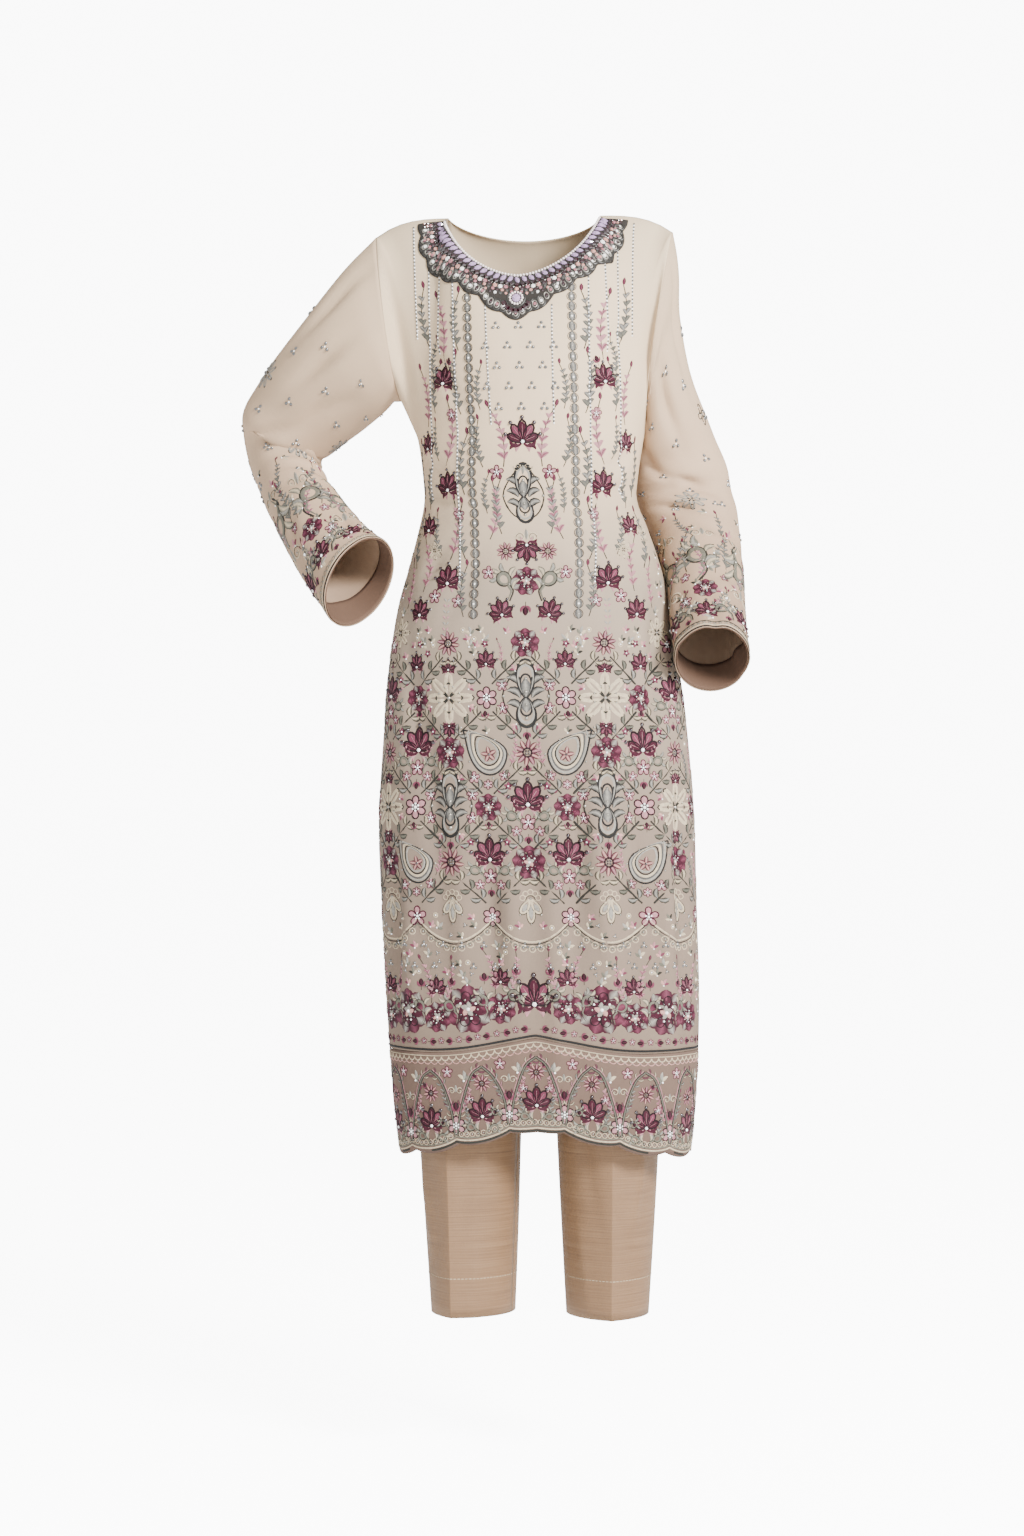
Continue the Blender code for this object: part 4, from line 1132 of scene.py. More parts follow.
def jewel():
    """A pointed medallion of silver lines: two crossed drops inside a ring of leaves."""
    m = Motif()
    for angle, length in ((90, 26), (-90, 20)):
        for scale, colour in ((1, "steel"), (0.86, "silver"), (0.62, "steel")):
            drop = drop_outline(MIDDLE, angle, length * scale, 15 * scale, 22)
            m.cord(drop, colour, 2.3 * scale, 0.65, closed=True)
        m.leaf(MIDDLE, polar(angle, length * 0.5), 7, "silver", 0, 0.4, edge="pewter")
    for side in (-1, 1):
        for lift in (8, 0, -8):
            root, tip = (side * 4, lift), (side * 13, lift * 1.1 + 5)
            m.leaf(root, tip, 5.2, "silver", 0.25 * side, 0.45, edge="steel")
        frame_line = [(0, -20), (side * 11, -12), (side * 16, 2), (side * 9, 16), (0, 25)]
        m.cord(smoothed(frame_line, 17), "moss", 1.2, 0.6)
        m.bead((side * 15.5, 1), 2.6, "silver")
    for y in (-14, -5, 4, 13):
        m.bead((0, y), 2.8, "silver")
    return m


def three_beads():
    """The smallest filling: three pewter beads in a triangle round a bright one."""
    m = Motif()
    for angle in around(3):
        m.bead(polar(angle, 1.8), 2.3, "pewter")
    m.bead(MIDDLE, 1.3)
    return m


def eyelet():
    """A ring of couched cord round a bead."""
    m = Motif()
    m.ring(MIDDLE, 2.56, "ivory", 1.28, count=9)
    m.bead(MIDDLE, 2.4)
    return m


DRAWN = (palmette, rosette, bloom, daisy, bud, small_rosette, spray, beaded_spray, acanthus, curl, sprig)
DRAWN += (paisley, knot, pendant, jewel, three_beads, eyelet)
MOTIFS = {drawing.__name__: drawing() for drawing in DRAWN}
MOTIFS.update(
    green_sprig=sprig(12.0, ("celadon", "moss", "ivory")),
    silver_sprig=sprig(14.0, ("silver", "ivory", "celadon")),
    plum_rosette=rosette(6, "plum"),
    silver_spray=spray(56, ("silver", "celadon"), -0.10, "pewter"),
    silver_knot=knot("silver"),
)
for name, motif in MOTIFS.items():
    count = sum(len(quads) for _, quads, *_ in motif.strokes) * 2
    print(f"{name}: {count} triangles, {len(motif.sewn)} beads")

# %% [markdown]
# ## Copying motifs over the cut
# A layout is a table of places: which motif, how far from the middle, at which level, how large and how far
# turned. Each row is worked on both halves of the panel, the second time mirrored, as the two halves of a
# kameez are.
# %% Placing motifs by a layout
FLOWERS = ("bloom", "daisy", "rosette", "plum_rosette", "palmette", "bud")


def layout(text):
    """Rows of (motif, numbers) from lines that name a motif and then its places."""
    lines = [line.split(maxsplit=1) for line in text.strip().splitlines()]
    return [(name, *map(float, place.split())) for name, places in lines for place in places.split(";")]


def moved(rows, across, level):
    """The rows of a layout, moved."""
    return [(name, across + x, level + y, *rest) for name, x, y, *rest in rows]


def place(work, name, across, level, scale=1.0, turn=0.0, side=1):
    """Copy a motif into a work at a place in millimetres. side is -1 for a mirrored copy."""
    motif, turn = MOTIFS[name], math.radians(turn)
    c, s = math.cos(turn) * scale, math.sin(turn) * scale
    turned = np.array([[side * c, -side * s], [s, c]])
    offset = np.array([side * across, level]) * MM
    if motif.count:
        points, quads, tints, runs = motif.whole()
        points = np.concatenate([points[:, :2] @ turned.T + offset, points[:, 2:]], axis=1)
        work.keep(points, quads[:, ::side], tints, runs * scale)
    for kind, x, y, angle, size, tint in motif.sewn:
        work.sewn.append((kind, *(turned @ (x, y) + offset), side * (angle + turn), size * scale, tint))


def worked_layout(rows, mirrored=True):
    """A work from the rows of a layout, each one mirrored unless it is in the middle."""
    work = Motif()
    for name, across, *rest in rows:
        place(work, name, across, *rest)
        if mirrored and abs(across) > 0.01:
            place(work, name, across, *rest, side=-1)
    return work


def leaves_and_flowers(rows):
    """Two works, the leaves and lines of a layout, and its flowers."""
    kinds = ([row for row in rows if (row[0] in FLOWERS) == flowers] for flowers in (False, True))
    return [worked_layout(kind) for kind in kinds]


# %% Small fillings wherever the cloth would be bare
GAP_CELL = 2.0
LOOSE_SHIFT, LOOSE_TURN = 0.2, 50


def taken_cells(works, across, low, high):
    """A grid of two-millimetre cells, true where a stroke or a bead of the works lies."""
    taken = np.zeros((int(across / GAP_CELL) + 1, int((high - low) / GAP_CELL) + 1), bool)
    for work in works:
        spots = np.concatenate([work.whole()[0][:, :2], [row[1:3] for row in work.sewn]])
        cells = ((spots / MM - (0, low)) / GAP_CELL).astype(int)
        inside = ((cells >= 0) & (cells < taken.shape)).all(axis=1)
        taken[tuple(cells[inside].T)] = True
    return taken


def fillings(works, across, low, high, step, clearance, names, seed):
    """A work of small motifs, mirrored, on a loose grid, wherever none of the given works comes near."""
    taken, near = taken_cells(works, across, low, high), int(clearance / GAP_CELL)
    chance = np.random.default_rng(seed)
    rows = []
    for r, level in enumerate(np.arange(low + step / 2, high, step)):
        for at in np.arange(step * (0.25 + 0.5 * (r % 2)), across, step):
            limits = (LOOSE_SHIFT, LOOSE_SHIFT, LOOSE_TURN)
            shift_x, shift_y, turn = (chance.uniform(-most, most) for most in limits)
            x, y = at + shift_x * step, level + shift_y * step
            i, j = int(x / GAP_CELL), int((y - low) / GAP_CELL)
            round_about = taken[max(i - near, 0) : i + near + 1, max(j - near, 0) : j + near + 1]
            if x >= clearance and not round_about.any():
                rows.append((names[len(rows) % len(names)], x, y, 1.0, turn))
    return worked_layout(rows)

# %% [markdown]
# ## Laying flat work on the worn cloth
# The flat work and the cloth share one set of coordinates, so one small node tree can sew any work to any
# piece: it looks up where each point of the work is on the worn cloth, and which way is out there. A stroke
# that runs off the cut is left out whole.
# %% The "Lay on cloth" node group
def work_tree(name, *extra):
    """A geometry tree with sockets for the work, the cloth and the finish, and its input node."""
    t = Tree(bpy.data.node_groups.new(name, "GeometryNodeTree"))
    sockets = (("Work", "Geometry"), *extra, ("Cloth", "Object"), ("Finish", "Material"))
    for label, kind in sockets:
        t.tree.interface.new_socket(label, in_out="INPUT", socket_type=f"NodeSocket{kind}")
    t.tree.interface.new_socket("Work", in_out="OUTPUT", socket_type="NodeSocketGeometry")
    t.add("NodeGroupInput")
    return t, t.nodes[-1].outputs


def stored(t, name, kind="FLOAT_VECTOR"):
    return t.add("GeometryNodeInputNamedAttribute", {"Name": name}, "Attribute", data_type=kind)


def lay_on_cloth():
    t, given = work_tree("Lay on cloth")
    cloth = t.add("GeometryNodeObjectInfo", {"Object": given["Cloth"]}, "Geometry")
    place = t.add("GeometryNodeInputPosition")
    look = {"Mesh": cloth, "UV Map": stored(t, "cut"), "Sample UV": place}
    worn = t.add("GeometryNodeSampleUVSurface", {**look, "Value": place}, data_type="FLOAT_VECTOR")
    valid = worn.node.outputs["Is Valid"]
    up = t.add("GeometryNodeSampleUVSurface", {**look, "Value": stored(t, "up")}, data_type="FLOAT_VECTOR")
    raised = t.vector("SCALE", up, t.add("ShaderNodeSeparateXYZ", {0: place}, "Z"))
    off = t.add("FunctionNodeBooleanMath", {0: valid}, operation="NOT")
    island = t.add("GeometryNodeInputMeshIsland", out="Island Index")
    count = t.add("GeometryNodeAccumulateField", {"Value": off, "Group ID": island}, "Total", data_type="INT")
    lost = t.add("FunctionNodeCompare", {2: count, 3: 0}, data_type="INT", operation="GREATER_THAN")
    marked = {"Geometry": given["Work"], "Name": "lost", "Value": lost}
    marked = t.add("GeometryNodeStoreNamedAttribute", marked, data_type="BOOLEAN")
    laid = t.add("GeometryNodeSetPosition", {"Geometry": marked, "Position": t.vector("ADD", worn, raised)})
    kept = t.add("GeometryNodeDeleteGeometry", {"Geometry": laid, "Selection": stored(t, "lost", "BOOLEAN")})
    done = t.add("GeometryNodeSetMaterial", {"Geometry": kept, "Material": given["Finish"]})
    t.add("NodeGroupOutput", {"Work": done})
    return t.tree


LAY = lay_on_cloth()


def left_handed(cloth):
    """Whether the cut runs round the cloth the other way, as on the back and the left sleeve."""
    mesh = cloth.data
    face = mesh.polygons[len(mesh.polygons) // 2]
    a, b, c = (Vector(mesh.uv_layers["cut"].data[i].uv) for i in list(face.loop_indices)[:3])
    return (b - a).cross(c - b) < 0


def sew(name, base_mesh, tree, cloth_name, finish, **settings):
    """Run a node tree on a mesh of flat work, and keep the mesh that it makes as a piece of the suit."""
    settings.update(Cloth=PIECES[cloth_name], Finish=FINISH[finish])
    base = in_scene(name, base_mesh)
    modifier = base.modifiers.new("work", "NODES")
    modifier.node_group = tree
    for item in tree.interface.items_tree:
        if item.in_out == "INPUT" and item.name in settings:
            modifier[item.identifier] = settings[item.name]
    graph = bpy.context.evaluated_depsgraph_get()
    done = base.evaluated_get(graph)
    mesh = bpy.data.meshes.new_from_object(done, preserve_all_data_layers=True, depsgraph=graph)
    bpy.data.objects.remove(base)
    mesh.name = name
    if left_handed(PIECES[cloth_name]):
        mesh.flip_normals()
    PIECES[name] = in_scene(name, mesh)
    ON_CLOTH.setdefault(cloth_name, []).append(PIECES[name])
    print(f"{name}: {sum(len(face.vertices) - 2 for face in mesh.polygons)} triangles")


def embroider(name, work, cloth_name, finish="thread"):
    """Lay a work's strokes on a cloth."""
    points, quads, tints, runs = work.whole()
    mesh = mesh_from(name, points, quads)
    give(mesh, "tint", tints)
    give(mesh, "run", runs)
    sew(name, mesh, LAY, cloth_name, finish)


# %% [markdown]
# ## Beads, rings and stones
# Beads are sewn on one by one, so the tree puts one small shape on each point, turns and sizes it, and then
# lays the whole field on the cloth as it lays the thread. The shapes have only a few faces each, because
# there are thousands of them.
# %% Bead shapes
def circle(corners, start=0.0):
    angle = 2 * np.pi * np.arange(corners) / corners + start
    return np.stack([0.5 * np.cos(angle), 0.5 * np.sin(angle)], axis=1)


def lathe(name, profile, outline, cut_flat=False, closed=True):
    """A small shape from rings: profile is (scale, height) from the top down, outline the ring's corners."""
    corners = len(outline)
    rings = [np.column_stack([outline * scale, np.full(corners, rise)]) for scale, rise in profile]
    quads = grid_quads(len(rings), corners, True)
    if closed:
        quads = np.concatenate([quads, [[0, i, i + 1, i + 2] for i in range(1, corners - 2, 2)]])
    mesh = mesh_from(name, np.concatenate(rings), quads)
    if cut_flat:
        mesh.shade_flat()
    return bpy.data.objects.new(name, mesh)


MARQUISE = np.array([(5, 0), (3, 2), (0, 2.9), (-3, 2), (-5, 0), (-3, -2), (0, -2.9), (3, -2)]) / 10
SQUARE_CUT = ((0.62, 0.36), (1.0, 0.14), (0.96, -0.1))
SHAPES = {
    "bead": lathe("bead", ((0.55, 0.36), (1.0, -0.12)), circle(6)),
    "pearl": lathe("pearl", ((0.35, 0.62), (0.75, 0.52), (1.0, 0.2), (0.9, -0.12)), circle(8)),
    "ring": lathe("ring", ((0.74, -0.1), (0.87, 0.0845), (1, -0.1)), circle(12), closed=False),
    "round_stone": lathe("round stone", ((0.6, 0.34), (1.0, 0.12), (0.96, -0.1)), circle(10), True),
    "square_stone": lathe("square stone", SQUARE_CUT, circle(4, math.pi / 4), True),
    "marquise": lathe("marquise", ((0.5, 0.26), (1.0, 0.08), (0.96, -0.08)), MARQUISE, True),
}


# %% The "Sewn on" tree, and sewing
def sewn_on():
    """One shape on each point, turned, sized and laid on the cloth."""
    t, given = work_tree("Sewn on", ("Shape", "Object"))
    shape = t.add("GeometryNodeObjectInfo", {"Object": given["Shape"]}, "Geometry")
    copies = {"Points": given["Work"], "Instance": shape}
    copies |= {"Rotation": stored(t, "turn"), "Scale": stored(t, "size")}
    real = t.add("GeometryNodeRealizeInstances", {0: t.add("GeometryNodeInstanceOnPoints", copies)})
    laid = t.nodes.new("GeometryNodeGroup")
    laid.node_tree = LAY
    t.fill(laid, {"Work": real, "Cloth": given["Cloth"], "Finish": given["Finish"]})
    t.add("NodeGroupOutput", {"Work": laid.outputs[0]})
    return t.tree


SEWN_ON = sewn_on()


def sew_on(name, sewn, cloth_name, finish):
    """Sew beads, listed as (kind, x, y, turn, size, tint), on a cloth: one object for each kind."""
    for kind in sorted({row[0] for row in sewn}):
        rows = [row for row in sewn if row[0] == kind]
        mesh = mesh_from(kind, [(x, y, 0) for _, x, y, *_ in rows])
        give(mesh, "turn", [(0, 0, turn) for _, _, _, turn, *_ in rows])
        give(mesh, "size", [(size, size, size) for *_, size, _ in rows])
        give(mesh, "tint", [tint for *_, tint in rows])
        sew(f"{name}_{kind}", mesh, SEWN_ON, cloth_name, finish, Shape=SHAPES[kind])


def sew_beads(name, work, cloth_name):
    """Metal beads and glass beads have different finishes, and each bead's colour says which it is."""
    metal_colours = (THREAD["silver"], THREAD["steel"])
    groups = {"rings": [], "metal": [], "glass": []}
    for row in work.sewn:
        material = "metal" if row[-1] in metal_colours else "glass"
        groups["rings" if row[0] == "ring" else material].append(row)
    for group, finish in (("rings", "oxidised"), ("metal", "silver beads"), ("glass", "glass beads")):
        sew_on(f"{name}_{group}", groups[group], cloth_name, finish)


# %% [markdown]
# ## Materials
# Chiffon is a dull, very fine crepe. Organza is the same thread set wider, so it looks darker over the
# trousers; the border's colour is also darkened with painted shade, for the shadowed inside seen through it.
# Raw silk has thick uneven weft threads, the slubs, and a soft shine. Satin stitch shines along its threads,
# with painted shade between its stitches, and silver beads and glass stones catch the light, helped by
# painted glints. Effects that several finishes share are small shader groups; the weave's shade is painted
# shade too.
# %% Shared shader groups
def shader_group(name, inputs, outputs):
    """A group of number sockets, and its inputs, read by place."""
    t = Tree(bpy.data.node_groups.new(name, "ShaderNodeTree"))
    for label, default in inputs.items():
        socket = t.tree.interface.new_socket(label, in_out="INPUT", socket_type="NodeSocketFloat")
        socket.default_value = default
    for label in outputs:
        t.tree.interface.new_socket(label, in_out="OUTPUT", socket_type="NodeSocketFloat")
    t.add("NodeGroupInput")
    return t, t.nodes[-1].outputs


def weave_group():
    """Warp and weft as two sets of fine ridges, with threads of uneven thickness. Its Shade is painted shade:
    darker where the threads lie low, lighter where they rise.
    """
    t, given = shader_group("weave", {"Threads a metre": 1400.0, "Uneven": 0.5}, ("Height", "Shade"))
    places = t.vector("SCALE", t.add("ShaderNodeUVMap", uv_map="cut"), given[0])
    ridges = []
    for direction, stretch in (("X", (1.0, 0.02, 1.0)), ("Y", (0.02, 1.0, 1.0))):
        sockets = {"Vector": places, "Scale": 0.32, "Distortion": 0.6, "Detail": 1.0}
        wave = t.add("ShaderNodeTexWave", sockets, 1, bands_direction=direction)
        sockets = {"Vector": t.vector("MULTIPLY", places, stretch), "Scale": 0.6, "Detail": 2.0}
        uneven = t.math("MULTIPLY", t.add("ShaderNodeTexNoise", sockets), given[1])
        ridges.append(t.math("ADD", wave, uneven))
    height = t.math("ADD", *ridges)
    # Shade: painted shade between the threads and painted highlight on their ridges, taken from the same
    # height
    sockets = {"Value": height, "From Min": 0.3, "From Max": 2.6, "To Min": 0.9, "To Max": 1.06}
    t.add("NodeGroupOutput", {"Height": height, "Shade": t.add("ShaderNodeMapRange", sockets)})
    return t.tree


def drift_group():
    """Broad, faint changes of tone, as cloth has from handling and from what lies under it."""
    t, given = shader_group("drift", {"Patch": 9.0, "Strength": 0.1}, ("Shade",))
    place = t.add("ShaderNodeTexCoord", out="Object")
    sockets = {"Vector": place, "Scale": given[0], "Detail": 3.0, "Roughness": 0.55}
    centred = t.math("SUBTRACT", t.add("ShaderNodeTexNoise", sockets), 0.5)
    t.add("NodeGroupOutput", {"Shade": t.math("ADD", t.math("MULTIPLY", centred, given[1]), 1.0)})
    return t.tree


WEAVE, DRIFT = weave_group(), drift_group()


# %% What the finishes share
def shared(f, tree, **values):
    """A shader group placed in a finish with its own values: its outputs."""
    made = f.nodes.new("ShaderNodeGroup")
    made.node_tree = tree
    f.fill(made, {socket.replace("_", " "): value for socket, value in values.items()})
    return made.outputs


def coloured(f, colour, *shades):
    """Give a finish its colour, made lighter or darker by some shades."""
    for shade in shades:
        colour = f.vector("SCALE", colour, shade)
    f.set(Base_Color=colour)
    return f.material


def bumped(f, height, strength, distance):
    f.set(Normal=f.add("ShaderNodeBump", {"Height": height, "Strength": strength, "Distance": distance}))


def ramp(f, value, text):
    """A colour ramp, its stops written as place, red, green, blue."""
    made = f.add("ShaderNodeValToRGB", {0: value})
    stops, points = table("place red green blue", text), made.node.color_ramp.elements
    while len(points) < len(stops):
        points.new(0.5)
    for point, (at, *colour) in zip(points, stops):
        point.position, point.color = at, (*colour, 1)
    return made


# %% Cloth finishes
def chiffon(name, low, high, stops):
    """Dyed crepe over its lining. The stops give its tone from the low level to the high one."""
    f = Finish(name, Roughness=0.85, Specular_IOR_Level=0.2)
    weave = shared(f, WEAVE, Threads_a_metre=1500.0, Uneven=0.7)
    drift = shared(f, DRIFT, Patch=11.0, Strength=0.12)
    level = f.add("ShaderNodeSeparateXYZ", {0: f.add("ShaderNodeTexCoord", out="Object")}, "Z")
    tone = ramp(f, f.add("ShaderNodeMapRange", {"Value": level, "From Min": low, "From Max": high}), stops)
    bumped(f, weave["Height"], 0.35, 0.0002)
    return coloured(f, tone, weave["Shade"], drift["Shade"])


def raw_silk():
    """Plain silk with slubs along the weft and a soft shine."""
    f = Finish("raw silk", Roughness=0.55, Specular_IOR_Level=0.35)
    weave = shared(f, WEAVE, Threads_a_metre=1100.0, Uneven=0.8)
    drift = shared(f, DRIFT, Patch=7.0, Strength=0.16)
    along = f.vector("MULTIPLY", f.add("ShaderNodeUVMap", uv_map="cut"), (9.0, 700.0, 1.0))
    slub = f.add("ShaderNodeTexNoise", {"Vector": along, "Scale": 1.0, "Detail": 3.0, "Roughness": 0.6})
    bumped(f, f.math("ADD", f.math("MULTIPLY", slub, 3.0), weave["Height"]), 0.4, 0.0003)
    tone = ramp(f, slub, ".28 .133 .073 .035; .50 .175 .097 .046; .76 .213 .126 .065")
    return coloured(f, tone, weave["Shade"], drift["Shade"])


# %% Thread, bead and stone finishes
STITCH_WIDTH, STITCH_SLANT = 0.0007, 0.6


def satin_thread():
    """Embroidery floss: the stitches cross each stroke at a slant, each painted darker in its grooves and
    lighter on its crest: painted shade and highlight.
    """
    f = Finish("satin thread", Roughness=0.6, Specular_IOR_Level=0.18)
    run = f.add("ShaderNodeAttribute", out="Vector", attribute_name="run")
    run = f.add("ShaderNodeSeparateXYZ", {0: run}).node.outputs
    place = f.math("ADD", run["X"], f.math("MULTIPLY", run["Y"], STITCH_SLANT))
    wave = f.math("SINE", f.math("MULTIPLY", place, 2 * math.pi / STITCH_WIDTH))
    # the stitch wave also scales the thread's colour, 0.72 to 1.12: painted shade between stitches, painted
    # highlight on them
    shade = f.add("ShaderNodeMapRange", {"Value": wave, "From Min": -1.0, "To Min": 0.72, "To Max": 1.12})
    drift = shared(f, DRIFT, Patch=300.0, Strength=0.8)
    bumped(f, wave, 0.5, 0.0002)
    tint = f.add("ShaderNodeAttribute", out="Vector", attribute_name="tint")
    return coloured(f, tint, shade, drift["Shade"])


def tinted(name, **settings):
    """Beads and stones: the colour comes with each one, and no two are quite alike; the strong random
    brightening and darkening also stands for painted glints and dark reflections.
    """
    f = Finish(name, **settings)
    # a drift this strong is partly painted glints and painted dark reflections on the beads
    drift = shared(f, DRIFT, Patch=420.0, Strength=1.5)
    return coloured(f, f.add("ShaderNodeAttribute", out="Vector", attribute_name="tint"), drift["Shade"])


KAMEEZ_TONES = "0 .158 .112 .082; .35 .19 .141 .106; .6 .268 .208 .154; .76 .555 .414 .272; 1 .535 .416 .276"
FINISH = {
    "kameez": chiffon("kameez chiffon", -1.10, 0.0, KAMEEZ_TONES),
    # the border's dark tones are partly painted shade: the shadowed inside of the kameez seen through the
    # sheer organza
    "border": chiffon("border organza", -1.10, -0.94, "0 .105 .066 .050; 1 .120 .078 .058"),
    "sleeve": chiffon("sleeve chiffon", -0.52, 0.0, "0 .24 .160 .108; .45 .43 .298 .196; 1 .46 .342 .222"),
    "facing": chiffon("cuff facing", -0.6, -0.3, "0 .085 .048 .031; 1 .13 .078 .052"),
    "net": chiffon("trim net", -0.2, 0.0, "0 .022 .019 .016; 1 .026 .022 .019"),
    "trousers": raw_silk(),
    "thread": satin_thread(),
    "silver beads": tinted("silver beads", Roughness=0.28, Metallic=0.85),
    "glass beads": tinted(
        "glass beads", Roughness=0.16, Specular_IOR_Level=0.6, Coat_Weight=0.5, Coat_Roughness=0.08
    ),
    "oxidised": tinted("oxidised silver", Roughness=0.6, Specular_IOR_Level=0.2),
    "wire": tinted("wire", Roughness=0.42, Metallic=0.5),
    "stones": tinted("stones", Roughness=0.08, Specular_IOR_Level=0.7, Coat_Weight=0.7, Coat_Roughness=0.04),
    "pearls": tinted("pearls", Roughness=0.25, Coat_Weight=0.6, Coat_Roughness=0.15),
}
print("finishes:", ", ".join(FINISH))

# %% [markdown]
# ## The front's needlework
# The composition is the usual one of a formal kameez: two chain lines down from the neck, a column of
# flowers between them, climbing sprays outside them, and from the hips down a trellis of curved cord with a
# flower at each crossing and a motif in each cell. The last row, above the border, is the richest.
# %% Columns of the upper front
# each line: a motif, then its places: across, level, scale, turn
FRONT_COLUMNS = layout(
    """
    palmette 0 -266 1.25; 0 -394 1 180; 28 -464 .95 -16; 98 -198 1.05 6; 94 -318 1.08 -4; 94 -426 1.10
    palmette 130 -270 .88; 128 -364 .88; 131 -462 .95
    rosette 30 -306 .9; 44 -420 .85; 86 -240 .8; 80 -352 .8; 80 -452 .85; 110 -446 .9
    spray 22 -300 1.15 -14; 42 -382 1.1 6; 97 -178 1.25 -5; 96 -296 1.2 4; 92 -404 1.15 5; 128 -250 1.1 -6
    spray 128 -440 1.05 -4; 156 -458 .9
    silver_spray 28 -376 1.1 2; 112 -196 .8 8; 108 -290 .8 -6; 106 -398 .9 -6; 126 -344 .95 4; 73 -168 1.2 2
    silver_spray 73 -240 1.2 -3; 70 -330 1.2 3; 72 -404 1.15 -2; 72 -470 1.05 2; 118 -160 1.25 -3
    silver_spray 112 -236 1 8; 144 -330 1.1 -4; 146 -412 1.15 4; 48 -236 .9 4; 46 -300 .95 -6; 44 -352 .8 6
    beaded_spray 94 -492 .8 3
    jewel 0 -334 1.45
    daisy 24 -396 .9
    bloom 0 -430 .95
    acanthus 22 -430 .95
    bud 0 -462 1.2 180; 88 -180 .9 20
    curl 0 -380 .85; 0 -300 .75 180
    knot 116 -392 .6; 152 -372 .6; 166 -486 1.05
    """
)
CHEST_BUTIS = SimpleNamespace(top=-142, step=-23, pitch=26, rows=5, columns=3, half=52, scale=2.0)
CHAIN = SimpleNamespace(across=60, top=-96, count=33, pitch=11.6, ring=12.0, bar=3.4)
BEADED_PITCH = 4.4
BEADED_LINES = (
    # across at the top and at the foot, top, foot: seams of the yoke, marked with beads
    (79, 79, -62, -430),
    (130, 136, -14, -150),
    (96, 104, -34, -170),
    (112, 124, -30, -330),
    (38, 36, -118, -250),
)


def butis(b):
    """Three-bead fillings, the small repeats that are called butis, in staggered rows."""
    steps = [(r, c + 0.5 * (r % 2)) for r in range(b.rows) for c in range(b.columns)]
    places = [(c * b.pitch, b.top + b.step * r) for r, c in steps]
    return [("three_beads", across, level, b.scale) for across, level in places if across < b.half]


def chain_lines(work):
    """Dark rings sewn edge to edge over a grey filling, each with a bead inside."""
    reach = (0, CHAIN.ring / 2)
    for i in range(CHAIN.count):
        for side in (-1, 1):
            middle = np.array([side * CHAIN.across, CHAIN.top - i * CHAIN.pitch])
            work.leaf(middle - reach, middle + reach, CHAIN.ring * 0.62, "silver", 0, count=4, edge="pewter")
            work.bead(middle, CHAIN.ring, "steel", "ring")
            work.bead(middle, CHAIN.bar, "crystal" if i % 2 else "silver")


def beaded_lines(work):
    """Dark and bright beads by turns along the seams of the yoke."""
    for side in (-1, 1):
        for top_across, foot_across, top, foot in BEADED_LINES:
            line = np.array([(side * top_across, top), (side * foot_across, foot)])
            length = run_along(line)[-1]
            for shift, size, colour in ((0, 3.0, "pewter"), (BEADED_PITCH / 2, 2.6, "crystal")):
                for at in np.arange(0, length, BEADED_PITCH):
                    work.bead(line[0] + (line[1] - line[0]) * at / length - (0, shift), size, colour)


# %% The trellis of the skirt
TRELLIS = SimpleNamespace(width=90.0, height=124.0, top=-500.0, foot=-810.0, lines=12, flower=13.0)
VINE = SimpleNamespace(stem=2.0, root=0.9, reach=7.2, slant=8.5, leaf=6.0, bow=0.2)


def trellis_line(number):
    """One of the waving lines. Neighbours wave against each other, so they meet at the crossings."""
    across = (number - TRELLIS.lines / 2 + 0.5) * TRELLIS.width / 2
    level = np.linspace(TRELLIS.top, TRELLIS.foot, 61)
    phase = np.cos(2 * np.pi * (level - TRELLIS.top) / TRELLIS.height)
    swing = -1 if (number - TRELLIS.lines // 2) % 2 == 0 else 1
    return np.stack([across + swing * TRELLIS.width / 4 * phase, level], axis=1)


def clear_of_crossings(line):
    """The stretches of a line that stay outside the flowers at the crossings."""
    step = np.array([TRELLIS.width / 2, TRELLIS.height / 2])
    away = (line - (0, TRELLIS.top)) / step
    nearest = np.round(away)
    nearest[:, 1] += (nearest.sum(axis=1) % 2) * np.sign(away[:, 1] - nearest[:, 1] + 1e-9)
    outside = np.linalg.norm((away - nearest) * step, axis=1) > TRELLIS.flower
    edges = np.flatnonzero(np.diff(np.concatenate([[0], outside.astype(int), [0]])))
    return [line[start:end] for start, end in edges.reshape(-1, 2) if end - start > 3]


def trellis(work):
    """Each line is a leafy vine: a couched stem with a pair of pale leaves every few millimetres."""
    for number in range(TRELLIS.lines):
        for line in clear_of_crossings(trellis_line(number)):
            work.cord(line[::2], "moss", VINE.stem, 0.8)
            left = beside(line)
            ahead = left[:, ::-1] * (1, -1)
            for i in range(1, len(line) - 1, 2):
                colour = ("ivory", "celadon", "silver")[i // 2 % 3]
                for side in (-1, 1):
                    root = line[i] + left[i] * side * VINE.root
                    tip = root + left[i] * side * VINE.reach - ahead[i] * VINE.slant
                    work.leaf(root, tip, VINE.leaf, colour, -VINE.bow * side, 0.45, 5, "moss")


